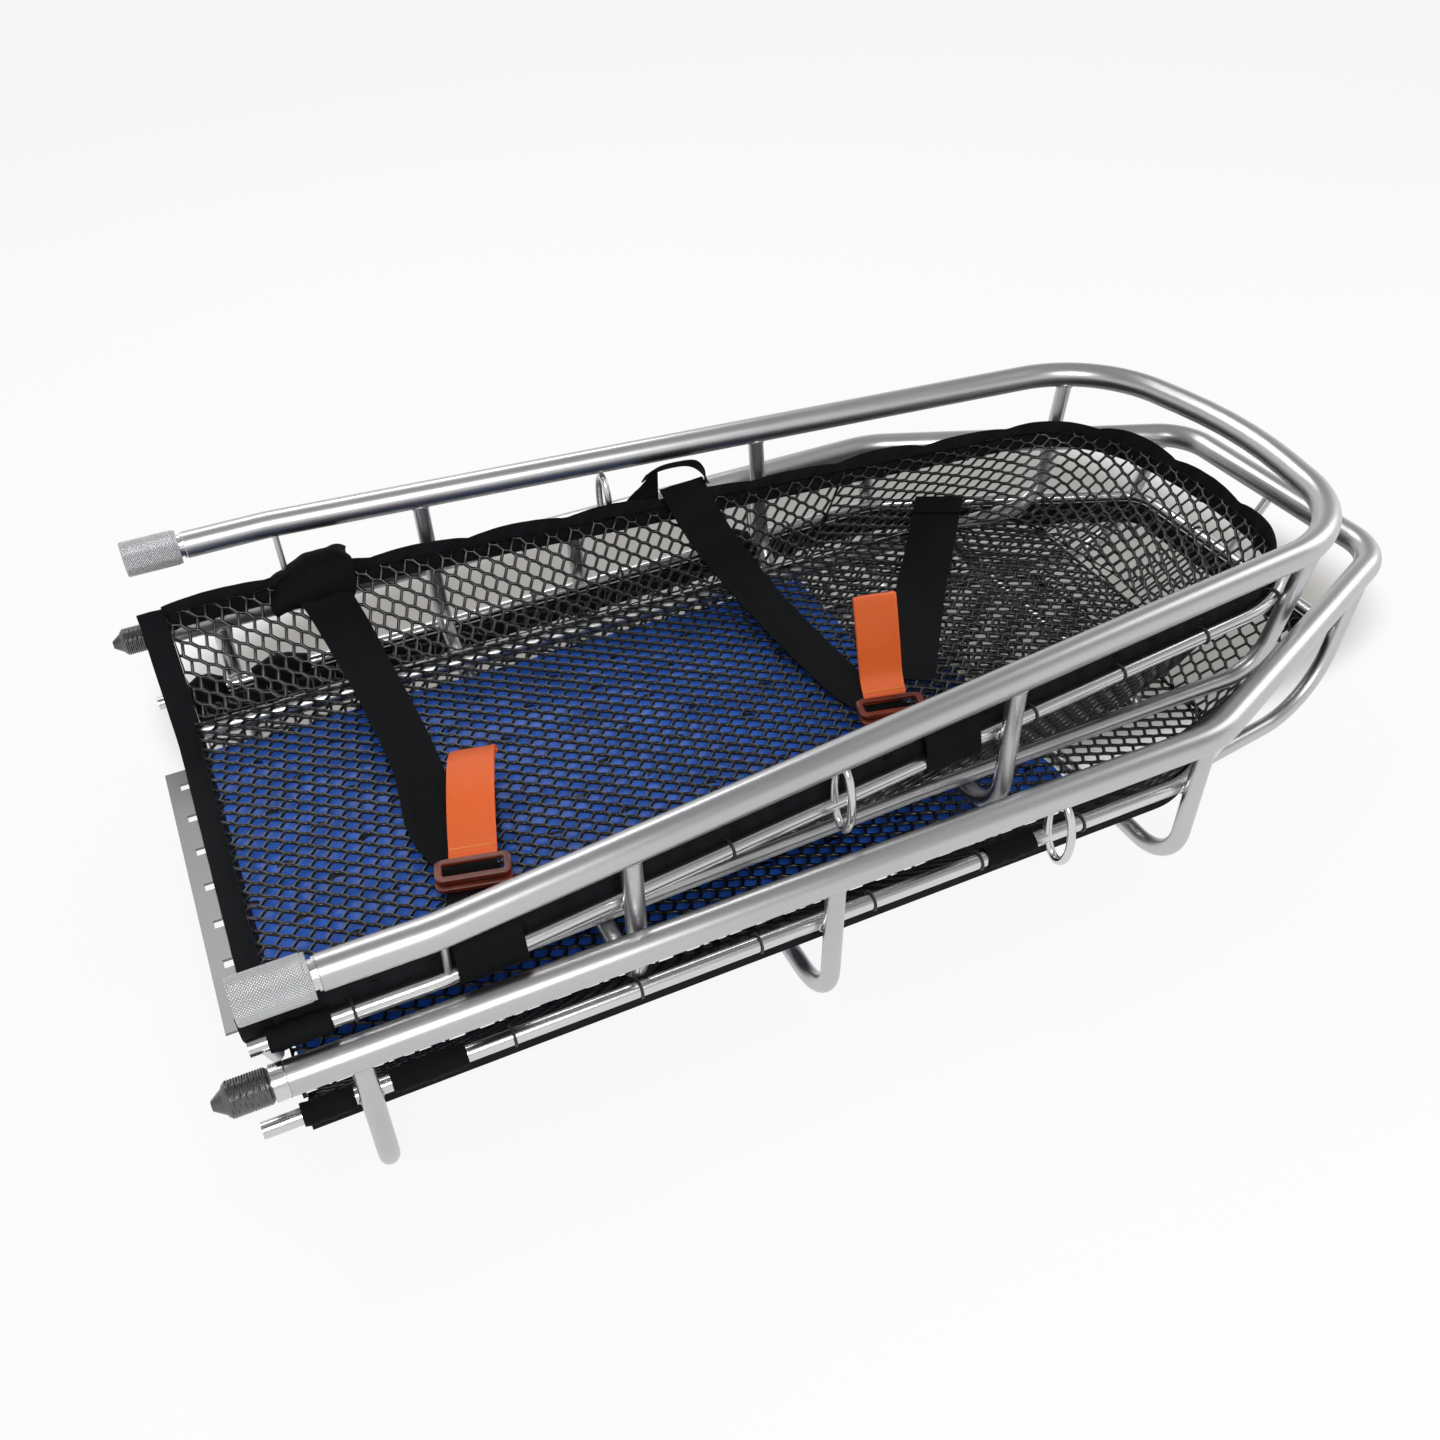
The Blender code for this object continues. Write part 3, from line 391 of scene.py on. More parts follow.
def ramp(tree, value, stops):
    node = add_node(tree, "ShaderNodeValToRGB")
    tree.links.new(value, node.inputs["Fac"])
    elements = node.color_ramp.elements
    while len(elements) < len(stops):
        elements.new(0.5)
    for element, (place, colour) in zip(elements, stops):
        element.position = place
        element.color = (*colour, 1.0)
    return node.outputs["Color"]


def value_range(tree, value, low, high):
    node = add_node(tree, "ShaderNodeMapRange")
    tree.links.new(value, node.inputs["Value"])
    node.inputs["From Min"].default_value = 0.3
    node.inputs["From Max"].default_value = 0.8
    node.inputs["To Min"].default_value = low
    node.inputs["To Max"].default_value = high
    return node.outputs["Result"]


def new_material(name, metallic=0.0, roughness=0.5):
    made = bpy.data.materials.new(name)
    made.use_nodes = True
    tree = made.node_tree
    shader = tree.nodes["Principled BSDF"]
    shader.inputs["Metallic"].default_value = metallic
    shader.inputs["Roughness"].default_value = roughness
    coordinates = add_node(tree, "ShaderNodeTexCoord")
    return made, tree, shader, coordinates


MATERIALS = {}
GROUPS = {}


def darker(colour, share):
    return tuple(value * share for value in colour)


def variation(tree, vector, blotch, grain, depth):
    return use_group(tree, GROUPS["variation"], vector, Blotch=blotch, Grain=grain, Depth=depth)


def tint(tree, shader, shade, dark, light):
    """A colour between two tones, and the fine relief, from a group's mask and normal."""
    colours = ramp(tree, shade.outputs["Mask"], [(0.3, dark), (0.75, light)])
    tree.links.new(colours, shader.inputs["Base Color"])
    tree.links.new(shade.outputs["Normal"], shader.inputs["Normal"])


def metal(name, dark, light, rough_low, rough_high, blotch=9.0, grain=700.0, depth=0.05):
    """Drawn metal: a reflecting finish whose tone and roughness vary along the bar."""
    made, tree, shader, coordinates = new_material(name, metallic=1.0)
    stretched = add_node(tree, "ShaderNodeMapping")
    stretched.inputs["Scale"].default_value = (0.35, 1.0, 1.0)
    tree.links.new(coordinates.outputs["Object"], stretched.inputs["Vector"])
    shade = variation(tree, stretched.outputs["Vector"], blotch, grain, depth)
    tint(tree, shader, shade, dark, light)
    rough = value_range(tree, shade.outputs["Mask"], rough_low, rough_high)
    tree.links.new(rough, shader.inputs["Roughness"])
    return made


def knurled_metal(name):
    made, tree, shader, coordinates = new_material(name, metallic=1.0)
    knurl = use_group(tree, GROUPS["knurl"], coordinates.outputs["Object"])
    # Painted shade: the knurl's grooves are coloured darker than its crests
    colours = ramp(tree, knurl.outputs["Mask"], [(0.05, (0.36, 0.365, 0.375)), (0.6, (0.76, 0.765, 0.78))])
    tree.links.new(colours, shader.inputs["Base Color"])
    shader.inputs["Roughness"].default_value = 0.38
    tree.links.new(knurl.outputs["Normal"], shader.inputs["Normal"])
    return made


def webbing(name, dark, light, across, along, roughness, depth=0.5, shine=0.12):
    """Woven tape: fine ribs from its own map, with soft blotches."""
    made, tree, shader, coordinates = new_material(name, roughness=roughness)
    weave = use_group(tree, GROUPS["weave"], coordinates.outputs["UV"], Across=across, Along=along,
                      Depth=depth)
    blotch = variation(tree, coordinates.outputs["Object"], 22.0, 1500.0, 0.1)
    soft = math_node(tree, "MULTIPLY", blotch.outputs["Mask"], 0.55)
    mixed = math_node(tree, "MULTIPLY_ADD", weave.outputs["Mask"], 0.45, soft)
    tree.links.new(ramp(tree, mixed, [(0.2, dark), (0.8, light)]), shader.inputs["Base Color"])
    tree.links.new(weave.outputs["Normal"], shader.inputs["Normal"])
    shader.inputs["Specular IOR Level"].default_value = shine
    return made


def coated(name, dark, light, roughness, blotch=60.0):
    """Paint, plastic or thread: two near tones and a fine grain."""
    made, tree, shader, coordinates = new_material(name, roughness=roughness)
    tint(tree, shader, variation(tree, coordinates.outputs["Object"], blotch, 1200.0, 0.15), dark, light)
    return made


def blue_sheet(name, colour):
    """Glossy blue sheet with soft creases, blotches of painted shade, and rows of short curved slits of
    painted shade.
    """
    made, tree, shader, coordinates = new_material(name, roughness=0.40)
    shade = variation(tree, coordinates.outputs["Object"], 26.0, 260.0, 0.35)
    # Painted shade: the sheet darkens to about half its colour in soft blotches, its tone in shadow
    colours = ramp(tree, shade.outputs["Mask"], [(0.3, darker(colour, 0.48)), (0.72, colour)])
    parts = add_node(tree, "ShaderNodeSeparateXYZ")
    tree.links.new(coordinates.outputs["UV"], parts.inputs["Vector"])
    row = math_node(tree, "DIVIDE", parts.outputs["Y"], SLIT_ROW)
    odd = math_node(tree, "MODULO", math_node(tree, "FLOOR", row), 2.0)
    shift = math_node(tree, "MULTIPLY", odd, 0.5)
    column = math_node(tree, "ADD", math_node(tree, "DIVIDE", parts.outputs["X"], SLIT_PITCH), shift)
    side = from_middle(tree, column, SLIT_PITCH)
    rise = from_middle(tree, row, SLIT_ROW)
    bow = math_node(tree, "MULTIPLY", math_node(tree, "POWER", math_node(tree, "ABSOLUTE", side), 2.0), 45.0)
    above = math_node(tree, "ABSOLUTE", math_node(tree, "ADD", rise, bow))
    inside = math_node(tree, "LESS_THAN", above, SLIT_THICKNESS)
    near = math_node(tree, "LESS_THAN", math_node(tree, "ABSOLUTE", side), SLIT_HALF)
    # Painted shade: the slits are openings, drawn as near-black marks for the shade inside them
    mix = add_node(tree, "ShaderNodeMix", data_type="RGBA")
    tree.links.new(math_node(tree, "MULTIPLY", inside, near), mix.inputs["Factor"])
    tree.links.new(colours, mix.inputs["A"])
    mix.inputs["B"].default_value = (0.004, 0.004, 0.008, 1.0)
    tree.links.new(mix.outputs["Result"], shader.inputs["Base Color"])
    tree.links.new(shade.outputs["Normal"], shader.inputs["Normal"])
    shader.inputs["Specular IOR Level"].default_value = 0.15
    shader.inputs["Coat Weight"].default_value = 0.10
    shader.inputs["Coat Roughness"].default_value = 0.12
    return made


def from_middle(tree, count, pitch):
    """The distance from the middle of the cell that a running count is in."""
    share = math_node(tree, "SUBTRACT", math_node(tree, "FRACT", count), 0.5)
    return math_node(tree, "MULTIPLY", share, pitch)


def seen_rays(tree):
    """One for camera, glossy and transmission rays, and zero for the rest."""
    rays = add_node(tree, "ShaderNodeLightPath")
    some = math_node(tree, "MAXIMUM", rays.outputs["Is Camera Ray"], rays.outputs["Is Glossy Ray"])
    return math_node(tree, "MAXIMUM", some, rays.outputs["Is Transmission Ray"])


def floor_material(name, colour):
    """A pale floor with a painted shadow under the stretcher, turning to the plain white of the background
    away from it.
    """
    made, tree, shader, coordinates = new_material(name, roughness=0.9)
    shade = variation(tree, coordinates.outputs["Object"], 3.0, 90.0, 0.02)
    colours = ramp(tree, shade.outputs["Mask"], [(0.3, darker(colour, 0.91)), (0.75, colour)])
    shader.inputs["Specular IOR Level"].default_value = 0.1
    parts = add_node(tree, "ShaderNodeSeparateXYZ")
    tree.links.new(coordinates.outputs["Object"], parts.inputs["Vector"])
    deep = math_node(tree, "SUBTRACT", parts.outputs["Y"], SHADOW_PATCH_MIDDLE[1])
    wide = math_node(tree, "SUBTRACT", parts.outputs["X"], math_node(tree, "MULTIPLY", deep, -SHADOW_PATCH_LEAN))
    wide = math_node(tree, "SUBTRACT", wide, SHADOW_PATCH_MIDDLE[0])
    reach = math_node(tree, "ADD", far_share(tree, wide, SHADOW_PATCH_REACH[0]),
                      far_share(tree, deep, SHADOW_PATCH_REACH[1]))
    away = add_node(tree, "ShaderNodeMapRange", interpolation_type="SMOOTHSTEP")
    away.inputs["From Min"].default_value = 0.7
    away.inputs["From Max"].default_value = 1.5
    tree.links.new(reach, away.inputs["Value"])
    # Painted shadow: the floor is the shadow patch's grey near the stretcher, white away from it
    paled = blend_to(tree, away, colours, (BACKGROUND_WHITE, BACKGROUND_WHITE, BACKGROUND_WHITE))
    tree.links.new(paled, shader.inputs["Base Color"])
    # Painted light: the shadow patch also glows grey, which lifts the real shadow cast on it
    lifted = blend_to(tree, away, darker(colour, 0.70), (1.0, 1.0, 1.0))
    glow = add_node(tree, "ShaderNodeEmission")
    glow.inputs["Strength"].default_value = 1.0
    tree.links.new(lifted, glow.inputs["Color"])
    grown = math_node(tree, "MULTIPLY", away.outputs["Result"], 0.36)
    covered = math_node(tree, "ADD", grown, SHADOW_PATCH_GLOW)
    mix = add_node(tree, "ShaderNodeMixShader")
    tree.links.new(math_node(tree, "MULTIPLY", covered, seen_rays(tree)), mix.inputs["Fac"])
    tree.links.new(shader.outputs["BSDF"], mix.inputs[1])
    tree.links.new(glow.outputs["Emission"], mix.inputs[2])
    tree.links.new(mix.outputs["Shader"], tree.nodes["Material Output"].inputs["Surface"])
    return made


def far_share(tree, value, reach):
    """How far out a place is, rising steeply beyond the reach."""
    share = math_node(tree, "ABSOLUTE", math_node(tree, "DIVIDE", value, reach))
    return math_node(tree, "POWER", share, 4.0)


def blend_to(tree, away, near, far):
    """A mix from a near colour or socket to a far colour."""
    mix = add_node(tree, "ShaderNodeMix", data_type="RGBA")
    tree.links.new(away.outputs["Result"], mix.inputs["Factor"])
    if isinstance(near, tuple):
        mix.inputs["A"].default_value = (*near, 1.0)
    else:
        tree.links.new(near, mix.inputs["A"])
    mix.inputs["B"].default_value = (*far, 1.0)
    return mix.outputs["Result"]


def build_materials(settings):
    """Every finish, from the colours in the settings."""
    GROUPS["variation"] = variation_group()
    GROUPS["weave"] = weave_group()
    GROUPS["knurl"] = knurl_group()
    steel, polished, webs = settings.steel_colour, settings.polished_colour, settings.webbing_colour
    orange, net, buckle = settings.orange_colour, settings.net_colour, settings.buckle_colour
    MATERIALS["steel"] = metal("satin_steel", darker(steel, 0.83), steel, 0.30, 0.38, depth=0.02)
    MATERIALS["bright"] = metal("polished_steel", darker(polished, 0.83), polished, 0.20, 0.28, depth=0.02)
    MATERIALS["weld"] = metal("weld_bead", darker(polished, 0.57), polished, 0.22, 0.5, 120.0, 900.0, 0.5)
    MATERIALS["thread"] = metal("dark_thread", darker(steel, 0.15), darker(steel, 0.33), 0.25, 0.4, 60.0)
    MATERIALS["knurl"] = knurled_metal("knurled_sleeve")
    MATERIALS["plate"] = metal("plate_steel", darker(steel, 0.31), darker(steel, 0.41), 0.36, 0.46,
                               depth=0.02)
    MATERIALS["webbing"] = webbing("black_webbing", darker(webs, 0.4), webs, 4200.0, 5200.0, 0.7, shine=0.07)
    MATERIALS["binding"] = webbing("black_binding", darker(webs, 0.6), darker(webs, 1.7), 5200.0, 5200.0,
                                   0.75, shine=0.10)
    MATERIALS["orange"] = webbing("orange_webbing", darker(orange, 0.84), orange, 9000.0, 3200.0, 0.36,
                                  depth=0.6, shine=0.45)
    MATERIALS["stitch"] = coated("yellow_stitch", (0.80, 0.32, 0.03), (0.90, 0.42, 0.06), 0.6)
    MATERIALS["net"] = coated("net_coating", darker(net, 0.45), net, 0.24, 300.0)
    MATERIALS["cord"] = coated("tie_cord", net, darker(net, 2.2), 0.6, 400.0)
    MATERIALS["buckle"] = coated("buckle_coat", darker(buckle, 0.16), buckle, 0.42, 45.0)
    MATERIALS["blue"] = blue_sheet("blue_sheet", settings.blue_colour)
    MATERIALS["floor"] = floor_material("pale_floor", settings.floor_shadow_colour)


# Geometry helpers

def add_piece(name, mesh, material, body, replaced=()):
    obj = bpy.data.objects.new(name, mesh)
    LOOKS.objects.link(obj)
    mesh.materials.clear()
    mesh.materials.append(MATERIALS[material])
    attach(obj, body)
    if replaced:
        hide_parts(*replaced)
    return obj


def mesh_from(work, name):
    """A named mesh from a bmesh that has served."""
    mesh = bpy.data.meshes.new(name)
    work.to_mesh(mesh)
    work.free()
    return mesh


def shade(mesh, angle=35.0):
    mesh.shade_smooth()
    mesh.set_sharp_from_angle(angle=math.radians(angle))
    return mesh


def tube_mesh(name, paths, radius, resolution=6, cyclic=False, angle=40.0):
    """Round tubes along one or more paths, as one mesh."""
    curve = bpy.data.curves.new(name, "CURVE")
    curve.dimensions = "3D"
    curve.bevel_depth = radius
    curve.bevel_resolution = resolution
    curve.use_fill_caps = True
    for path in paths:
        spline = curve.splines.new("POLY")
        spline.points.add(len(path) - 1)
        for point, place in zip(spline.points, path):
            point.co = (*place, 1.0)
        spline.use_cyclic_u = cyclic
    guide = bpy.data.objects.new(name + "_guide", curve)
    LOOKS.objects.link(guide)
    bpy.context.view_layer.update()
    mesh = bpy.data.meshes.new_from_object(guide.evaluated_get(bpy.context.evaluated_depsgraph_get()))
    mesh.name = name
    bpy.data.objects.remove(guide)
    work = bmesh.new()
    work.from_mesh(mesh)
    bmesh.ops.remove_doubles(work, verts=work.verts, dist=0.00001)
    bmesh.ops.recalc_face_normals(work, faces=work.faces)
    work.to_mesh(mesh)
    work.free()
    return shade(mesh, angle)


def grid_mesh(name, columns, rows, surface, thickness=0.0, wrap=False, angle=50.0):
    """A grid laid on a surface of two shares, with a map in metres, given a thickness if asked."""
    work = bmesh.new()
    bmesh.ops.create_grid(work, x_segments=columns, y_segments=rows, size=0.5)
    layer = work.loops.layers.uv.new("UVMap")
    width = (surface(1.0, 0.5) - surface(0.0, 0.5)).length
    length = path_lengths([surface(0.5, count / 24) for count in range(25)])[-1]
    for face in work.faces:
        for loop in face.loops:
            place = loop.vert.co
            loop[layer].uv = ((place.x + 0.5) * width, (place.y + 0.5) * length)
    for vertex in work.verts:
        vertex.co = surface(vertex.co.x + 0.5, vertex.co.y + 0.5)
    if wrap:
        bmesh.ops.remove_doubles(work, verts=work.verts, dist=0.00001)
    bmesh.ops.recalc_face_normals(work, faces=work.faces)
    if thickness > 0.0:
        bmesh.ops.solidify(work, geom=list(work.faces), thickness=thickness)
        bmesh.ops.recalc_face_normals(work, faces=work.faces)
    return shade(mesh_from(work, name), angle)


def spun_mesh(name, profile, place, steps=48):
    """A profile of (distance along X, radius) spun round the X axis through a place."""
    work = bmesh.new()
    row = [work.verts.new((along, 0.0, radius)) for along, radius in profile]
    edges = [work.edges.new(pair) for pair in zip(row, row[1:])]
    bmesh.ops.spin(work, geom=row + edges, axis=(1.0, 0.0, 0.0), cent=(0.0, 0.0, 0.0), steps=steps,
                   angle=2 * math.pi, use_merge=True)
    bmesh.ops.remove_doubles(work, verts=work.verts, dist=0.000005)
    bmesh.ops.recalc_face_normals(work, faces=work.faces)
    bmesh.ops.translate(work, verts=work.verts, vec=place)
    return shade(mesh_from(work, name))


def join_meshes(name, meshes):
    work = bmesh.new()
    for mesh in meshes:
        work.from_mesh(mesh)
    joined = mesh_from(work, name)
    for mesh in meshes:
        bpy.data.meshes.remove(mesh)
    return joined


def bead_path(centre, rail_way, leg_way, rail_radius, leg_radius):
    """Where a leg's surface meets a rail's surface."""
    rail_way = rail_way.normalized()
    leg_way = leg_way.normalized()
    first = (rail_way - leg_way * rail_way.dot(leg_way)).normalized()
    second = leg_way.cross(first)
    places = []
    for index in range(BEAD_POINTS):
        angle = 2 * math.pi * index / BEAD_POINTS
        start = (first * math.cos(angle) + second * math.sin(angle)) * leg_radius
        flat = start - rail_way * start.dot(rail_way)
        way = leg_way - rail_way * leg_way.dot(rail_way)
        a = way.dot(way)
        b = 2 * flat.dot(way)
        c = flat.dot(flat) - rail_radius ** 2
        reach = (-b + math.sqrt(max(b * b - 4 * a * c, 0.0))) / (2 * a)
        places.append(centre + start + leg_way * reach)
    return places


def add_tube(name, paths, radius, material, body, sides, node=None, **shape):
    """Steel tube or bar along one or more paths, standing for a node of the solid model."""
    mesh = tube_mesh(name, paths, radius, sides, **shape)
    return add_piece(name, mesh, material, body, [node] if node else ())


# Pieces

def plan_direction(plan, station):
    first = spread_at(plan, station - 0.005)
    second = spread_at(plan, station + 0.005)
    return Vector((0.01, second - first, 0.0)).normalized()


def rib_path(plan, station, height, lean):
    spread = spread_at(plan, station)
    foot = spread - lean * RIB_DROP
    x = world_x(station)
    corners = [(x, spread, height), (x, foot, height - RIB_DROP),
               (x, -foot, height - RIB_DROP), (x, -spread, height)]
    return fillet(corners, [RIB_BEND, RIB_BEND])


def runner_path(side, start, knee, turn, top, plan, height, bend):
    low = height - RUNNER_DROP
    corners = [(world_x(start), side * FOOT_HALF, low), (world_x(knee[0]), side * knee[1], low),
               (world_x(turn[0]), side * turn[1], low), (world_x(top), side * spread_at(plan, top), height)]
    return fillet(corners, [KNEE_BEND, bend])


def ring_path(side, plan, inset, station, height):
    """A lift ring, hanging under the main rail and round the net rail."""
    middle = spread_at(plan, station) - RING_SHIFT
    top_drop = math.sqrt((RAIL_R + RING_R + GAP) ** 2 - RING_SHIFT ** 2)
    half_height = (RING_BOTTOM_DROP - top_drop) / 2
    centre = height - (RING_BOTTOM_DROP + top_drop) / 2
    places = []
    for index in range(48):
        angle = 2 * math.pi * index / 48
        places.append(Vector((world_x(station), side * (middle + (inset - RING_SHIFT) * math.cos(angle)),
                              centre + half_height * math.sin(angle))))
    return places


HALVES = {
    "lower": {"plan": LOWER_PLAN, "net_plan": LOWER_NET_PLAN, "height": LOWER_Z, "lean": LOWER_LEAN,
              "ribs": (0.097, 0.464, 0.816), "ring": 0.674, "inset": LOWER_INSET, "body": "lower_half"},
    "upper": {"plan": UPPER_PLAN, "net_plan": UPPER_NET_PLAN, "height": UPPER_Z, "lean": UPPER_LEAN,
              "ribs": (0.309, 0.655), "ring": 0.490, "inset": UPPER_INSET, "body": "upper_half"},
}
# Each runner's start, its knee and turn as station and half width, its top and its upper bend
RUNNERS = {"lower": (0.058, (0.845, 0.200), (1.070, 0.1665), 1.120, 0.090),
           "upper": (0.054, (0.595, 0.182), (0.973, 0.178), 1.005, 0.045)}


def build_tubes(settings):
    """Main rails, net rails, ribs, runners and rings, with beads where they are welded."""
    sides = settings.tube_resolution
    for prefix, half in HALVES.items():
        height, plan, body = half["height"], half["plan"], half["body"]
        rail = loop_path(plan, height)
        add_tube(prefix + "_main_rail_tube", [rail], RAIL_R, "steel", body, sides + 2, prefix + "_main_rail")
        rail = loop_path(half["net_plan"], height - NET_RAIL_DROP)
        add_tube(prefix + "_net_rail_tube", [rail], NET_RAIL_R, "bright", body, sides, prefix + "_net_rail")
        beads = []
        for number, station in enumerate(half["ribs"], 1):
            path = rib_path(plan, station, height, half["lean"])
            node = "%s_rib_%d" % (prefix, number)
            add_tube(node + "_tube", [path], RIB_R, "steel", body, sides, node)
            beads += rib_beads(path, plan, station, half["lean"])
        start, knee, turn, top, bend = RUNNERS[prefix]
        for side, word in ((1, "left"), (-1, "right")):
            path = runner_path(side, start, knee, turn, top, plan, height, bend)
            node = "%s_runner_%s" % (prefix, word)
            add_tube(node + "_tube", [path], RUNNER_R, "steel", body, sides, node)
            way = plan_direction(plan, top)
            way.y *= side
            beads.append(bead_path(path[-1], way, path[-2] - path[-1], RAIL_R, RUNNER_R))
            path = ring_path(side, plan, half["inset"], half["ring"], height)
            node = "%s_lift_ring_%s" % (prefix, word)
            add_tube(node + "_bar", [path], RING_R, "bright", body, 3, node, cyclic=True)
        add_tube(prefix + "_weld_beads", beads, settings.bead_radius, "weld", body, 1,
                 cyclic=True, angle=80.0)


def rib_beads(path, plan, station, lean):
    """The beads of one rib: round each end on the main rail, and where it meets the net rail."""
    beads = []
    for side, end, inside in ((1, path[0], path[1]), (-1, path[-1], path[-2])):
        way = plan_direction(plan, station)
        way.y *= side
        beads.append(bead_path(end, way, inside - end, RAIL_R, RIB_R))
        foot = Vector((end.x, side * (abs(end.y) - lean * RIB_DROP), end.z - RIB_DROP))
        touch = end.lerp(foot, NET_RAIL_DROP / RIB_DROP)
        beads.append(short_bead(touch + Vector((0.0, -side, 0.0)) * (RIB_R * 0.95), way))
    return beads


def short_bead(place, way):
    """A small oval bead where the net rail lies on a rib."""
    up = Vector((0.0, 0.0, 1.0))
    return [place + way * (math.cos(angle) * SHORT_BEAD / 2) + up * (math.sin(angle) * 0.0052)
            for angle in (2 * math.pi * index / 14 for index in range(14))]


def build_rods(settings):
    """The upper cross tube, tie rods and end hoop, and the lower nose post."""
    sides = settings.tube_resolution
    knee, turn = RUNNERS["upper"][1:3]
    spread = knee[1] + (turn[1] - knee[1]) * (CROSS_STATION - knee[0]) / (turn[0] - knee[0])
    ends = [Vector((world_x(CROSS_STATION), side * spread, UPPER_Z - RUNNER_DROP)) for side in (1, -1)]
    add_tube("upper_cross_tube_tube", [ends], CROSS_TUBE_R, "steel", "upper_half", sides, "upper_cross_tube")
    low = UPPER_Z - NET_RAIL_DROP
    x = world_x(TIE_STATION)
    for side, word in ((1, "left"), (-1, "right")):
        top = Vector((x, side * (spread_at(UPPER_PLAN, TIE_STATION) - TIE_SHIFT), UPPER_Z))
        bottom = Vector((x, side * spread_at(UPPER_NET_PLAN, TIE_STATION), low))
        node = "upper_tie_rod_" + word
        add_tube(node + "_bar", [[top, bottom]], TIE_R, "steel", "upper_half", 3, node)
    x = world_x(HOOP_STATION)
    wide = spread_at(UPPER_NET_PLAN, HOOP_STATION)
    foot = UPPER_Z - HOOP_DROP
    corners = [(x, wide, low), (x, FOOT_HALF, foot), (x, -FOOT_HALF, foot), (x, -wide, low)]
    hoop = fillet(corners, [HOOP_CORNER, HOOP_CORNER])
    add_tube("upper_end_hoop_tube", [hoop], HOOP_R, "steel", "upper_half", sides, "upper_end_hoop")
    nose = max(place.x for place in loop_path(LOWER_NET_PLAN, 0.0))
    ends = [Vector((world_x(LOWER_PLAN[1][0]), 0.0, LOWER_Z)), Vector((nose, 0.0, LOWER_Z - NET_RAIL_DROP))]
    add_tube("lower_nose_post_bar", [ends], POST_R, "steel", "lower_half", 4, "lower_nose_post")


def threaded_mesh(name, side, settings):
    """A stud with a cut thread: a cone, a helical crest and a neck at the rail."""
    def radius_at(x):
        for first, second in zip(STUD_PROFILE, STUD_PROFILE[1:]):
            if first[0] <= x <= second[0] and second[0] > first[0]:
                return first[1] + (second[1] - first[1]) * (x - first[0]) / (second[0] - first[0])
        return STUD_PROFILE[-1][1]

    def surface(turn, along):
        x = STUD_LENGTH * along + STUD_STEP
        radius = radius_at(x)
        if THREAD_START < x < THREAD_END:
            phase = (x / settings.thread_pitch - turn) % 1.0
            radius -= THREAD_DEPTH * abs(2 * phase - 1.0)
        angle = 2 * math.pi * turn
        return Vector((world_x(x), side * HALF_WIDTH + radius * math.sin(angle),
                       LOWER_Z + radius * math.cos(angle)))

    shell = grid_mesh(name + "_shell", 32, 150, surface, wrap=True, angle=60.0)
    tip = spun_mesh(name + "_tip", STUD_TIP, (world_x(0.0), side * HALF_WIDTH, LOWER_Z), 32)
    return join_meshes(name, [shell, tip])


def build_couplings(settings):
    """Threaded studs, their shoulders and the knurled collars."""
    front = COLLAR_REAR - COLLAR_LENGTH
    wall = COLLAR_REAR - COLLAR_WALL
    profile = [(front, 0.0157), (front + 0.0008, 0.0165), (COLLAR_REAR - 0.0035, 0.0165),
               (COLLAR_REAR - 0.0030, 0.0160), (COLLAR_REAR - 0.0004, 0.0160), (COLLAR_REAR, 0.0156),
               (COLLAR_REAR, 0.0108), (wall, 0.0108), (wall, 0.0139), (front + 0.001, 0.0139),
               (front, 0.0143), (front, 0.0157)]
    for side, word in ((1, "left"), (-1, "right")):
        stud = threaded_mesh("lower_stud_%s_thread" % word, side, settings)
        add_piece(stud.name, stud, "thread", "lower_half", ["lower_stud_" + word])
        shoulder = spun_mesh("lower_shoulder_" + word, SHOULDER, (world_x(0.0), side * HALF_WIDTH, LOWER_Z))
        add_piece(shoulder.name, shoulder, "bright", "lower_half")
        node = "upper_collar_" + word
        sleeve = spun_mesh(node + "_sleeve", profile, (world_x(0.0), side * HALF_WIDTH, UPPER_Z))
        add_piece(sleeve.name, sleeve, "knurl", "collar_" + word, [node])


def hex_sheet(length, width, weave, outline):
    """Six-sided cells in the plane, leaning and turned as the weave says, cut to a convex outline."""
    pitch, row_pitch, lean, swing_size, angle = weave
    middle = Vector((length / 2, width / 2, 0.0))
    reach = math.hypot(length, width) * (1.0 + abs(lean)) + 0.02
    columns = 2 * math.ceil(reach / pitch)
    rows = math.ceil(reach / row_pitch)
    work = bmesh.new()
    bmesh.ops.create_grid(work, x_segments=columns, y_segments=rows, size=0.5)
    joined = []
    for edge in work.edges:
        first, second = edge.verts
        if abs(first.co.x - second.co.x) > 1e-6 or edge.is_boundary:
            continue
        column = round((first.co.x + 0.5) * columns)
        row = int(((first.co.y + second.co.y) / 2 + 0.5) * rows)
        if (column + row) % 2:
            joined.append(edge)
    bmesh.ops.dissolve_edges(work, edges=joined, use_verts=False)
    for vertex in work.verts:
        column = round((vertex.co.x + 0.5) * columns)
        row = round((vertex.co.y + 0.5) * rows)
        swing = swing_size if (column + row) % 2 == 0 else -swing_size
        across = vertex.co.y * rows * row_pitch + swing
        vertex.co = Vector((vertex.co.x * columns * pitch / 2 + lean * across, across, 0.0))
    bmesh.ops.rotate(work, verts=work.verts, cent=(0.0, 0.0, 0.0), matrix=Matrix.Rotation(angle, 3, "Z"))
    bmesh.ops.translate(work, verts=work.verts, vec=middle)
    for point, outward in outline:
        everything = list(work.verts) + list(work.edges) + list(work.faces)
        bmesh.ops.bisect_plane(work, geom=everything, plane_co=point, plane_no=outward, clear_outer=True)
    bmesh.ops.remove_doubles(work, verts=work.verts, dist=0.0009)
    return work


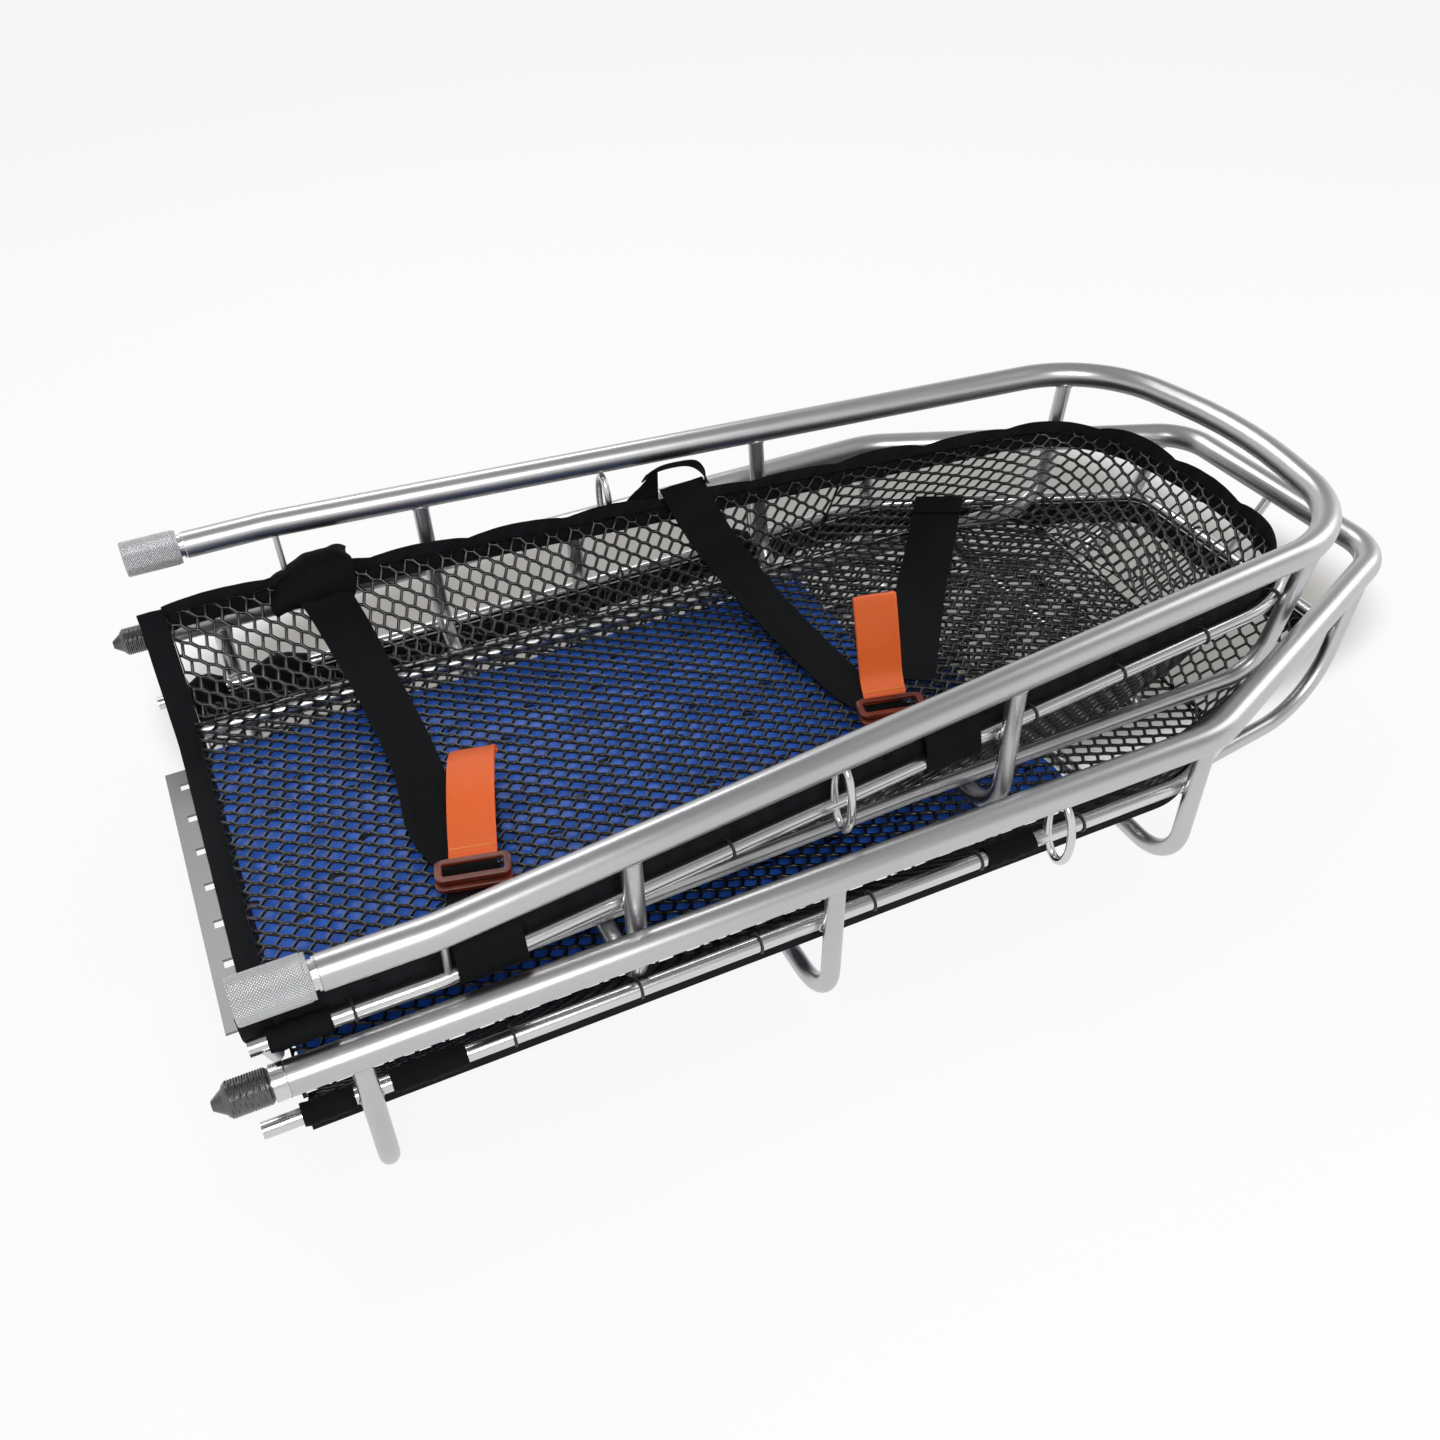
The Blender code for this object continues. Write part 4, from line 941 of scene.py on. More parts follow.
def laid_net(name, sheet, surface):
    """A flat sheet of cells laid on a surface."""
    for vertex in sheet.verts:
        vertex.co = surface(vertex.co.x, vertex.co.y)
    bmesh.ops.recalc_face_normals(sheet, faces=sheet.faces)
    return mesh_from(sheet, name)


def add_strands(obj, thickness):
    strands = obj.modifiers.new("strands", "WIREFRAME")
    strands.thickness = thickness
    strands.offset = 0.0
    strands.use_boundary = False
    strands.use_replace = True
    strands.use_even_offset = False
    obj.data.shade_smooth()


def band_path(net_plan, height, start, inset):
    corner_radius = max(net_plan[2][1] - inset, 0.02)
    return loop_path(inset_plan(net_plan, start, inset, inset, corner_radius), height)


def build_nets(settings):
    """The two linings: a floor net and three wall nets in each half."""
    for prefix, half in HALVES.items():
        height, net_plan = half["height"], half["net_plan"]
        inset = NET_RAIL_R + 2 * GAP + BAND_THICKNESS + NET_WIRE / 2
        top = along_path(band_path(net_plan, height - NET_TOP[prefix], NET_START, inset))
        bend, corner, nose = FLOORS[prefix]
        floor_plan = ([(NET_START, FLOOR_HALF), bend, corner], (nose, 0.0), FLOOR_BENDS, 0.0)
        grown = inset_plan(floor_plan, NET_START, -FLOOR_MARGIN, -FLOOR_MARGIN)
        bottom = along_path(loop_path(grown, height - FLOOR_DROP + FLOOR_MARGIN))
        ripple = random.Random(7 if prefix == "upper" else 11)
        waves = [(ripple.uniform(0.03, 0.09), ripple.uniform(0, 6.28), ripple.uniform(0.0004, 0.0012))
                 for _ in range(5)]

        def unevenness(place):
            return sum(size * math.sin(place.x / span + start) * math.cos(place.y / span - start)
                       for span, start, size in waves)

        def wall(start, end, length, width):
            def surface(x, y):
                share = start + (end - start) * x / length
                up = y / width
                place = bottom(share).lerp(top(share), up)
                sag = math.sin(math.pi * min(max(up, 0.0), 1.0))
                inward = Vector((0.0, -math.copysign(1.0, place.y), 0.0))
                return place + inward * sag * (0.0015 + unevenness(place)) + Vector((0, 0, -0.002)) * sag
            return surface

        def floor(x, y):
            station = NET_START + x
            spread = spread_at(floor_plan, station)
            place = Vector((world_x(station), y - FLOOR_HALF, height - FLOOR_DROP))
            along = x / (nose - NOSE_GAP - NET_START)
            over = min(abs(place.y) / spread, 1.0)
            place.z += abs(unevenness(place)) * 0.6
            place.z -= NET_SAG * math.sin(math.pi * along) * math.cos(0.5 * math.pi * over)
            return place

        length = nose - NOSE_GAP - NET_START
        floor_weave, wall_weave, nose_weave = weaves(settings, FLOOR_TURN[prefix])
        sheet = hex_sheet(length, 2 * FLOOR_HALF, floor_weave, floor_edges(floor_plan, length))
        mesh = laid_net(prefix + "_net_floor_strands", sheet, floor)
        obj = add_piece(mesh.name, mesh, "net", half["body"], [prefix + "_net_floor"])
        add_strands(obj, settings.strand * FLOOR_STRAND)
        panels = (("left", 0.0, NOSE_SHARES[0], wall_weave), ("nose", *NOSE_SHARES, nose_weave),
                  ("right", NOSE_SHARES[1], 1.0, wall_weave))
        for word, start, end, weave in panels:
            steps = [start + (end - start) * count / 40 for count in range(41)]
            length = path_lengths([(top(step) + bottom(step)) / 2 for step in steps])[-1]
            width = (top(steps[20]) - bottom(steps[20])).length
            sheet = hex_sheet(length, width, weave, box_edges(length, width))
            node = "%s_net_%s" % (prefix, word)
            mesh = laid_net(node + "_strands", sheet, wall(start, end, length, width))
            obj = add_piece(mesh.name, mesh, "net", half["body"], [node])
            add_strands(obj, settings.strand)


def weaves(settings, turn):
    """Cell length, row pitch, lean, zigzag and turn of the floor, wall and nose nets."""
    length, width, zigzag = settings.cell_length, settings.cell_width, settings.zigzag
    return ((length * 0.975, width * 0.91, 0.10, zigzag * 0.45, turn),
            (length, width * 0.93, -0.29, zigzag * 0.75, turn * 0.78),
            (length, width * 0.91, -0.10, zigzag * 0.75, turn * 0.5))


def box_edges(length, width):
    """The four sides of a rectangle, each a point and an outward direction."""
    return [((0.0, 0.0, 0.0), (-1.0, 0.0, 0.0)), ((length, 0.0, 0.0), (1.0, 0.0, 0.0)),
            ((0.0, 0.0, 0.0), (0.0, -1.0, 0.0)), ((0.0, width, 0.0), (0.0, 1.0, 0.0))]


def floor_edges(plan, length):
    """The sides of a net floor: its split end, its nose and the sides and tapers between them."""
    points = plan[0]
    edges = [((-0.005, 0.0, 0.0), (-1.0, 0.0, 0.0)), ((length, 0.0, 0.0), (1.0, 0.0, 0.0))]
    for first, second in zip(points, points[1:]):
        along = Vector((second[0] - first[0], second[1] - first[1], 0.0)).normalized()
        for side in (1, -1):
            place = Vector((first[0] - NET_START, FLOOR_HALF + side * first[1], 0.0))
            edges.append((place, Vector((-along.y, side * along.x, 0.0))))
    return edges


def build_bindings(settings):
    """The fabric edge of each net, its tie cords, the end band and the sleeves on the net rails."""
    for prefix, half in HALVES.items():
        height, net_plan, body = half["height"], half["net_plan"], half["body"]
        inset = NET_RAIL_R + GAP + 0.0012
        band = band_path(net_plan, 0.0, NET_START - 0.002, inset)
        path = along_path(band)
        length = path_lengths(band)[-1]
        rng = random.Random(3)
        puckers = [rng.uniform(0.4, 1.0) for _ in range(200)]

        def surface(up, along):
            place = path(along)
            beat = along * length / settings.tie_spacing
            pucker = puckers[int(beat) % 200] * abs(math.sin(math.pi * beat)) ** 0.7
            bow = math.sin(math.pi * up)
            lift = settings.scallop * pucker * up if prefix == "upper" else 0.0
            z = height - BAND_TOP[prefix] - BAND_HEIGHT * (1.0 - up) + lift - 0.001
            run = along * length
            crease = 0.0012 * math.sin(run * 310.0 + 2.0 * math.sin(up * 4.0))
            crease += 0.0010 * math.sin(run * 131.0 - up)
            crease *= bow
            inward = Vector((-1.0, 0.0, 0.0))
            if abs(place.y) > 0.12:
                inward = Vector((0.0, -math.copysign(1.0, place.y), 0.0))
            return Vector((place.x, place.y, z)) + inward * (crease + 0.0006 * bow)

        mesh = grid_mesh(prefix + "_net_binding_cloth", 8, 420, surface, 0.0014)
        add_piece(mesh.name, mesh, "binding", body, [prefix + "_net_binding"])
        build_ties(prefix, half, settings)
    build_end_band()
    build_wraps()


def build_ties(prefix, half, settings):
    """The cords that tie a net's binding to its rail, clear of the ribs and the ring."""
    height, net_plan = half["height"], half["net_plan"]
    rings = []
    keep_off = list(half["ribs"]) + [half["ring"]]
    path = band_path(net_plan, height - NET_RAIL_DROP, NET_START, 0.0)
    place_at = along_path(path)
    length = path_lengths(path)[-1]
    count = int(length / settings.tie_spacing)
    for index in range(count):
        share = (index + 0.5) / count
        place = place_at(share)
        station = place.x + LENGTH / 2
        if any(abs(station - other) < TIE_CLEARANCE for other in keep_off):
            continue
        way = (place_at(share + 0.004) - place_at(share - 0.004)).normalized()
        inward = Vector((-way.y, way.x, 0.0))
        if inward.dot(Vector((0.3, 0.0, 0.0)) - Vector((place.x, place.y, 0.0))) < 0.0:
            inward = -inward
        ring = []
        for step in range(18):
            angle = 2 * math.pi * step / 18
            reach = 0.0072 + (0.0028 if math.cos(angle) > 0.2 else 0.0)
            ring.append(place + inward * (reach * math.cos(angle)) + Vector((0, 0, 0.0074 * math.sin(angle))))
        rings.append(ring)
    mesh = tube_mesh(prefix + "_tie_cords", rings, 0.0011, 1, cyclic=True, angle=80.0)
    add_piece(mesh.name, mesh, "cord", half["body"])


def build_end_band():
    """The fabric band round the end hoop, up to the tops of the binding."""
    box_low, box_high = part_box("upper_end_band")
    inset = HOOP_R + GAP + BAND_THICKNESS / 2
    wide = spread_at(UPPER_NET_PLAN, HOOP_STATION)
    slope = (wide - FOOT_HALF) / (HOOP_DROP - NET_RAIL_DROP)
    lean = math.atan(slope)
    shift = inset / math.cos(lean)
    low = UPPER_Z - HOOP_DROP + inset
    low_spread = FOOT_HALF + slope * inset - shift
    high = UPPER_Z - NET_RAIL_DROP
    top = UPPER_Z - BAND_TOP["upper"] - 0.002
    right = [(0.0, -low_spread, low), (0.0, shift - wide, high), (0.0, shift - wide, top)]
    left = [(place[0], -place[1], place[2]) for place in reversed(right)]
    inner = HOOP_CORNER - inset
    path = along_path(fillet(left + right, [HOOP_CORNER, inner, inner, HOOP_CORNER]))

    def surface(over, along):
        place = path(along)
        wave = 0.0005 * math.sin(along * 90.0 + over * 3.0)
        x = box_low[0] + (box_high[0] - box_low[0]) * over
        return Vector((x, place.y, place.z + wave * math.sin(math.pi * over)))

    mesh = grid_mesh("upper_end_band_cloth", 6, 220, surface, 0.0016)
    add_piece(mesh.name, mesh, "binding", "upper_half", ["upper_end_band"])


def build_wrap(name, side, plan, level, stretch, body, replaced=(), swell=0.0006):
    """A cloth sleeve on a net rail."""
    start, end = stretch
    spread = side * spread_at(plan, start)

    def surface(along, turn):
        angle = 2 * math.pi * turn
        bunch = 0.0004 * math.sin(along * 19.0 + 2.0 * math.sin(angle)) + 0.0003 * math.sin(3 * angle)
        radius = 0.0086 + bunch + swell * math.sin(math.pi * along)
        return Vector((world_x(start + (end - start) * along), spread + radius * math.sin(angle),
                       level + radius * math.cos(angle)))

    mesh = grid_mesh(name, 24, 32, surface, 0.0012, wrap=True)
    add_piece(mesh.name, mesh, "webbing", body, replaced)


def build_wraps():
    """The cloth sleeves on the net rails."""
    level = LOWER_Z - NET_RAIL_DROP
    for number, stretch in enumerate(((0.049, 0.0865), (0.113, 0.169), (0.614, 0.660)), 1):
        node = "lower_wrap_%d" % number
        build_wrap(node + "_cloth", -1, LOWER_NET_PLAN, level, stretch, "lower_half", [node])
        build_wrap(node + "_far_cloth", 1, LOWER_NET_PLAN, level, stretch, "lower_half", swell=0.0075)
    level = UPPER_Z - NET_RAIL_DROP
    build_wrap("upper_sleeve_near", -1, UPPER_NET_PLAN, level, (0.045, 0.088), "upper_half")
    build_wrap("upper_sleeve_far", 1, UPPER_NET_PLAN, level, (0.033, 0.062), "upper_half")


def build_beds():
    """The blue sheets that lie under the nets, with soft ripples along them."""
    for prefix, height, end in (("upper", UPPER_Z, 0.669), ("lower", LOWER_Z, 0.795)):
        level = height - RIB_DROP + RIB_R + GAP + 0.0012 + 0.001
        rng = random.Random(5 if prefix == "upper" else 6)
        waves = [(rng.uniform(0.012, 0.05), rng.uniform(0, 6.28), rng.uniform(0.0001, 0.0005))
                 for _ in range(8)]

        def surface(along, over):
            x = world_x(BED_START + (end - BED_START) * along)
            y = BED_HALF * (2 * over - 1)
            wave = 0.0009 * math.cos(2 * math.pi * 8 * over)
            wave += sum(size * math.sin(x / span + start + y / 0.03) for span, start, size in waves)
            return Vector((x, y, level + wave))

        mesh = grid_mesh(prefix + "_bed_panel_sheet", 120, 70, surface, 0.0016)
        obj = add_piece(mesh.name, mesh, "blue", HALVES[prefix]["body"], [prefix + "_bed_panel"])


def ribbon_mesh(name, stations, width, thickness=0.0017, folds=(), columns=20, droop=0.0, row_length=0.0025):
    """Webbing along a chain of (place, way across, share of the width), with lengthwise folds."""
    places = [Vector(station[0]) for station in stations]
    ways = [Vector(station[1]).normalized() for station in stations]
    shares = [station[2] if len(station) > 2 else 1.0 for station in stations]
    lengths = path_lengths(places)
    total = lengths[-1]

    def at(share):
        goal = share * total
        step = 0
        while step < len(lengths) - 2 and lengths[step + 1] < goal:
            step += 1
        local = (goal - lengths[step]) / max(lengths[step + 1] - lengths[step], 1e-9)
        before = places[max(step - 1, 0)]
        after = places[min(step + 2, len(places) - 1)]
        start, end = places[step], places[step + 1]
        square, cube = local * local, local ** 3
        place = 0.5 * (2 * start + (end - before) * local
                       + (2 * before - 5 * start + 4 * end - after) * square
                       + (3 * start - before - 3 * end + after) * cube)
        share = shares[step] + (shares[step + 1] - shares[step]) * (3 * square - 2 * cube)
        return place, ways[step].lerp(ways[step + 1], local).normalized(), share

    def surface(across, along):
        place, way, share = at(along)
        ahead = at(min(along + 0.01, 1.0))[0] - at(max(along - 0.01, 0.0))[0]
        normal = way.cross(ahead.normalized()).normalized()
        fading = math.sin(math.pi * min(max(along, 0), 1))
        offset = sum(depth * math.exp(-((across - middle) / 0.09) ** 2) * fading ** 0.5
                     for middle, depth in folds)
        drop = Vector((0.0, 0.0, -droop * abs(2 * across - 1) ** 5 * fading))
        return place + way * (width * share * (across - 0.5)) + normal * offset + drop

    rows = max(20, int(total / row_length))
    return grid_mesh(name, columns, rows, surface, thickness)


def near_inside(station, place, floor_spread):
    """A near strap from inside the binding down the wall and over the floor to its buckle."""
    spread = spread_at(UPPER_NET_PLAN, station)
    x = world_x(station)
    top = UPPER_Z - BAND_TOP["upper"]
    level = UPPER_Z - STRAP_DROP
    along = Vector((1.0, 0.0, 0.0))
    turned = Vector((math.cos(BUCKLE_TURN), math.sin(BUCKLE_TURN), 0.0))
    return [((x + 0.002, -(spread * 0.5 + floor_spread * 0.5 - 0.0145), top - 0.048), along),
            ((x + 0.004, -(floor_spread - 0.014), level + 0.006), along),
            ((world_x(place[0]) - 0.002, place[1] - 0.016, level + 0.001), turned),
            ((world_x(place[0]), place[1] - 0.004, level + 0.0005), turned)]


def far_run(stops):
    """A far strap's run through the air from the rail to its buckle, from its stops."""
    return [((world_x(station), y, z), (1.0, way, 0.0), share) for station, y, z, share, way in stops]


# Stops of each far run: station, y, z, share of the width and way across in y
FAR_RUNS = {1: ((0.1965, 0.2470, 0.1915, 0.98, 0.06), (0.2035, 0.2210, 0.1740, 0.94, 0.10),
                (0.2140, 0.1370, 0.1465, 0.86, 0.08), (0.2190, 0.0480, 0.1300, 0.84, 0.02),
                (0.2170, 0.0050, 0.1246, 0.88, -0.04), (0.2130, -0.0350, 0.1228, 0.92, -0.10),
                (0.2150, -0.0700, 0.1218, 0.94, -0.20), (0.2255, -0.1130, 0.1206, 0.96, -0.25)),
            2: ((0.5600, 0.2140, 0.2290, 0.98, 0.10), (0.5700, 0.2010, 0.1990, 0.97, 0.08),
                (0.5825, 0.1770, 0.1680, 0.96, 0.04), (0.5980, 0.0900, 0.1380, 0.86, 0.10),
                (0.6150, -0.0280, 0.1222, 0.84, 0.00), (0.6240, -0.0640, 0.1210, 0.90, -0.16),
                (0.6305, -0.0855, 0.1206, 0.96, -0.25))}


def near_wrap(station):
    """A strap's end pulled tight round the near net rail and over its binding."""
    spread = spread_at(UPPER_NET_PLAN, station)
    x = world_x(station)
    rail = UPPER_Z - NET_RAIL_DROP
    round_rail = [(-0.0075, -0.0078), (-0.0015, -0.0108), (0.0055, -0.0095), (0.0100, -0.0035),
                  (0.0102, 0.0035), (0.0085, 0.0110), (0.0060, 0.0200), (0.0010, 0.0262), (-0.0075, 0.0262)]
    return [((x, -(spread + out), rail + up), (1.0, 0.0, 0.0), 1.0) for out, up in round_rail]


def far_hump(station):
    """The first strap's far end: webbing bunched over the net rail, wider and higher towards the nose."""
    spread = spread_at(UPPER_NET_PLAN, station)
    x = world_x(station)
    top = UPPER_Z - BAND_TOP["upper"]
    return [((x - 0.004, spread + 0.0100, top - 0.0320), (1.0, 0.0, 0.00), 1.05),
            ((x - 0.009, spread + 0.0150, top - 0.0200), (1.0, 0.0, 0.06), 1.40),
            ((x - 0.012, spread + 0.0175, top - 0.0070), (1.0, 0.0, 0.18), 1.62),
            ((x - 0.012, spread + 0.0125, top + 0.0020), (1.0, 0.0, 0.25), 1.58),
            ((x - 0.012, spread + 0.0010, top + 0.0050), (1.0, 0.0, 0.27), 1.44),
            ((x - 0.012, spread - 0.0115, top + 0.0025), (1.0, 0.0, 0.25), 1.58),
            ((x - 0.014, spread - 0.0205, top - 0.0060), (1.0, 0.0, 0.20), 1.64),
            ((x - 0.015, spread - 0.0240, top - 0.0165), (1.0, 0.0, 0.10), 1.62),
            ((x - 0.015, spread - 0.0225, top - 0.0250), (1.0, 0.0, 0.01), 1.50),
            ((x - 0.010, spread - 0.0160, top - 0.0265), (1.0, 0.0, 0.00), 1.30)]


def far_loop(station):
    """The second strap's far end: a loose loop that leaves a hole over the binding."""
    spread = spread_at(UPPER_NET_PLAN, station)
    x = world_x(station)
    top = UPPER_Z - BAND_TOP["upper"]
    leaf = [((x - 0.092, spread + 0.0020, top - 0.0070), (0.25, 0.0, 1.0), 0.10),
            ((x - 0.072, spread + 0.0030, top + 0.0030), (0.20, 0.0, 1.0), 0.38),
            ((x - 0.055, spread + 0.0030, top + 0.0100), (0.12, 0.0, 1.0), 0.62),
            ((x - 0.047, spread + 0.0025, top + 0.0125), (0.05, 0.0, 1.0), 0.72)]
    band = [((x - 0.060, spread + 0.0060, top + 0.0210), (0.0, 0.70, -0.70), 0.40),
            ((x - 0.046, spread + 0.0040, top + 0.0285), (0.0, 0.76, -0.65), 0.46),
            ((x - 0.028, spread + 0.0020, top + 0.0305), (0.0, 0.78, -0.62), 0.46),
            ((x - 0.010, spread - 0.0010, top + 0.0290), (0.0, 0.78, -0.62), 0.46),
            ((x - 0.001, spread - 0.0050, top + 0.0200), (0.2, 0.76, -0.60), 0.44),
            ((x + 0.001, spread - 0.0090, top + 0.0080), (0.5, 0.65, -0.50), 0.40)]
    return leaf, band


def build_straps(settings):
    """Two straps, each in a far and a near run, and the hemmed tail of the second."""
    width = settings.strap_width
    folds = ((0.3, settings.fold), (0.72, -settings.fold * 0.6))
    for number, near_shift in ((1, -0.002), (2, 0.014)):
        station = STRAP_STATIONS[number] + near_shift
        floor_spread = FLOOR_HALF - 0.016 * (number - 1)
        chain = near_wrap(station) + near_inside(station, BUCKLES[number], floor_spread)
        mesh = ribbon_mesh("strap_%d_near_webbing" % number, chain, width, folds=folds)
        add_piece(mesh.name, mesh, "webbing", "upper_half", ["strap_%d_near" % number])
    bunches = ((0.2, 0.0020), (0.5, -0.0022), (0.78, 0.0020))
    hump = ribbon_mesh("hump", far_hump(STRAP_STATIONS[1]), width, 0.0034, bunches, 40, droop=0.011)
    run = ribbon_mesh("run", far_run(FAR_RUNS[1]), width, folds=folds)
    mesh = join_meshes("strap_1_far_webbing", [hump, run])
    add_piece(mesh.name, mesh, "webbing", "upper_half", ["strap_1_far"])
    leaf, band = far_loop(STRAP_STATIONS[2])
    pieces = [ribbon_mesh("leaf", leaf, width, folds=((0.5, 0.001),)), ribbon_mesh("band", band, width),
              ribbon_mesh("run", far_run(FAR_RUNS[2]), width, folds=folds)]
    mesh = join_meshes("strap_2_far_webbing", pieces)
    add_piece(mesh.name, mesh, "webbing", "upper_half", ["strap_2_far"])
    build_tail(width)


def build_tail(width):
    """The second strap's tail, lying on the net and up the far wall, its end folded."""
    level = UPPER_Z - STRAP_DROP
    way = Vector((0.813, -0.582, 0.0))
    tail = [((world_x(0.672), -0.050, level - 0.0012), way), ((world_x(0.700), -0.011, level + 0.0008), way),
            ((world_x(0.735), 0.038, level + 0.0020), way), ((world_x(0.765), 0.080, level + 0.0036), way),
            ((world_x(0.792), 0.112, level + 0.0140), (0.80, -0.60, 0.05)),
            ((world_x(0.832), 0.160, level + 0.0420), (0.78, -0.62, 0.10))]
    hem = [((world_x(0.821), 0.1465, level + 0.0362), (0.785, -0.615, 0.09)),
           ((world_x(0.8335), 0.1615, level + 0.0446), (0.78, -0.62, 0.10))]
    pieces = [ribbon_mesh("tail", tail, width, folds=((0.5, 0.0012),)),
              ribbon_mesh("hem", hem, width, 0.0034)]
    mesh = join_meshes("strap_2_tail_webbing", pieces)
    add_piece(mesh.name, mesh, "webbing", "upper_half", ["strap_2_tail"])


# How far each tab's front reaches from its bar, with its rise there, and how far it drifts aside
TAB_RISES = {1: ((0.010, 0.003), (0.030, 0.016), (0.055, 0.028), (0.085, 0.034), (0.106, 0.029),
                 (0.117, 0.021)),
             2: ((0.006, 0.003), (0.018, 0.014), (0.029, 0.042), (0.039, 0.066), (0.046, 0.082))}
TAB_DRIFT = {1: 0.085, 2: 0.0}


def build_buckles():
    """The two slotted frames, and the stitched orange tabs folded round their far bars."""
    turn = Matrix.Rotation(BUCKLE_TURN, 4, "Z")
    for number, place in BUCKLES.items():
        centre = Vector((world_x(place[0]), place[1], UPPER_Z - BUCKLE_DROP))
        mesh = buckle_mesh("buckle_%d_frame" % number)
        mesh.transform(Matrix.Translation(centre) @ turn)
        add_piece(mesh.name, mesh, "buckle", "upper_half", ["buckle_%d" % number])
        bar = centre + turn.to_3x3() @ Vector((0.0, 0.0165, -0.001))
        along, ahead = turn.to_3x3() @ Vector((1, 0, 0)), turn.to_3x3() @ Vector((0, 1, 0))
        front = [bar - ahead * 0.0012 + Vector((0, 0, -0.0014)),
                 bar + ahead * 0.003 + Vector((0, 0, -0.0010))]
        front += [bar + ahead * reach + along * reach * TAB_DRIFT[number] + Vector((0, 0, rise))
                  for reach, rise in TAB_RISES[number]]
        way = (front[-1] - front[-2]).normalized()
        down = way.cross(along).normalized()
        down = -down if down.z > 0.0 and number == 1 else down
        back = [front[-1] + way * 0.0022 + down * 0.0010, front[-1] + way * 0.0026 + down * 0.0026,
                front[-1] + way * 0.0008 + down * 0.0046]
        back += [point + down * 0.0040 for point in reversed(front[4:-1])]
        back += [point + down * 0.0026 for point in reversed(front[1:4])]
        chain = [(point, along) for point in front + back]
        name = "pull_tab_%d" % number
        mesh = ribbon_mesh(name + "_webbing", chain, TAB_WIDTH, 0.0016, ((0.95, 0.0014),), droop=0.0016,
                           row_length=0.0011)
        add_piece(mesh.name, mesh, "orange", name, [name])
        stitches = tube_mesh(name + "_stitches", [seam(front, along, SEAM_REACH, down)], 0.0004, 1)
        add_piece(stitches.name, stitches, "stitch", name)


def seam(path, along, reach, down):
    """A line of stitches across a tab, a little above its webbing."""
    lengths = path_lengths(path)
    place = along_path(path)(reach / lengths[-1]) - down * 0.0011
    return [place + along * (SEAM_WIDTH * (count / 60 - 0.5)) - down * (0.0005 * (count % 2))
            for count in range(61)]


def frame_plate(rows, level, thickness):
    """A rounded frame round one slot: rows are the places of its bars across the strap."""
    work = bmesh.new()
    bmesh.ops.create_grid(work, x_segments=3, y_segments=3, size=0.5)
    columns = [-0.031, -0.0250, 0.0250, 0.031]
    for vertex in work.verts:
        column = round((vertex.co.x + 0.5) * 3)
        row = round((vertex.co.y + 0.5) * 3)
        vertex.co = (columns[column], rows[row], level)
    middle = [face for face in work.faces if len([v for v in face.verts if abs(v.co.x) < 0.026
                                                  and rows[0] < v.co.y < rows[3]]) == 4]
    bmesh.ops.delete(work, geom=middle, context="FACES")
    raised = bmesh.ops.extrude_face_region(work, geom=list(work.faces))
    moved = [item for item in raised["geom"] if isinstance(item, bmesh.types.BMVert)]
    bmesh.ops.translate(work, verts=moved, vec=(0.0, 0.0, thickness))
    bmesh.ops.recalc_face_normals(work, faces=work.faces)
    flat = [edge for edge in work.edges if edge.is_manifold and edge.calc_face_angle() < 0.1]
    bmesh.ops.dissolve_edges(work, edges=flat, use_verts=False)
    upright = [edge for edge in work.edges if abs(edge.verts[0].co.z - edge.verts[1].co.z) > thickness * 0.8
               and edge.is_manifold and edge.calc_face_angle() > 0.7]
    outer = [edge for edge in upright if abs(edge.verts[0].co.x) > 0.03]
    inner = [edge for edge in upright if abs(edge.verts[0].co.x) < 0.03]
    bmesh.ops.bevel(work, geom=inner, offset=0.0022, segments=4, profile=0.5, affect="EDGES", material=-1)
    outer = [edge for edge in outer if edge.is_valid]
    bmesh.ops.bevel(work, geom=outer, offset=0.0065, segments=6, profile=0.5, affect="EDGES", material=-1)
    rims = [edge for edge in work.edges if edge.is_manifold and edge.calc_face_angle() > 1.2
            and abs(edge.verts[0].co.z - edge.verts[1].co.z) < 0.0005]
    bmesh.ops.bevel(work, geom=rims, offset=0.0009, segments=3, profile=0.5, affect="EDGES", material=-1)
    return mesh_from(work, "plate")


def buckle_mesh(name):
    """A raised frame over a base frame that shows beyond its near side."""
    top = frame_plate([-0.0115, -0.0052, 0.0092, 0.0141], 0.0012, 0.0036)
    base = frame_plate([-0.0175, -0.0115, 0.0020, 0.0090], -0.0026, 0.0030)
    return shade(join_meshes(name, [top, base]), 50.0)


def dress_solids():
    """Finishes for the solids that stay in view as they are."""
    finishes = {"upper_comb_plate": "plate", "upper_ferrule_left": "bright", "upper_ferrule_right": "bright"}
    for node, finish in finishes.items():
        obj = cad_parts[node]
        obj.data.materials.clear()
        obj.data.materials.append(MATERIALS[finish])
        shade(obj.data, 30.0)


# Stage

def area_light(name, place, target, size, power):
    """A white rectangular light that looks at its target."""
    light = bpy.data.lights.new(name, "AREA")
    light.shape = "RECTANGLE"
    light.size = size[0]
    light.size_y = size[1]
    light.energy = power
    obj = bpy.data.objects.new(name, light)
    STAGE.objects.link(obj)
    obj.location = place
    obj.rotation_euler = (Vector(target) - Vector(place)).to_track_quat("-Z", "Y").to_euler()
    return obj


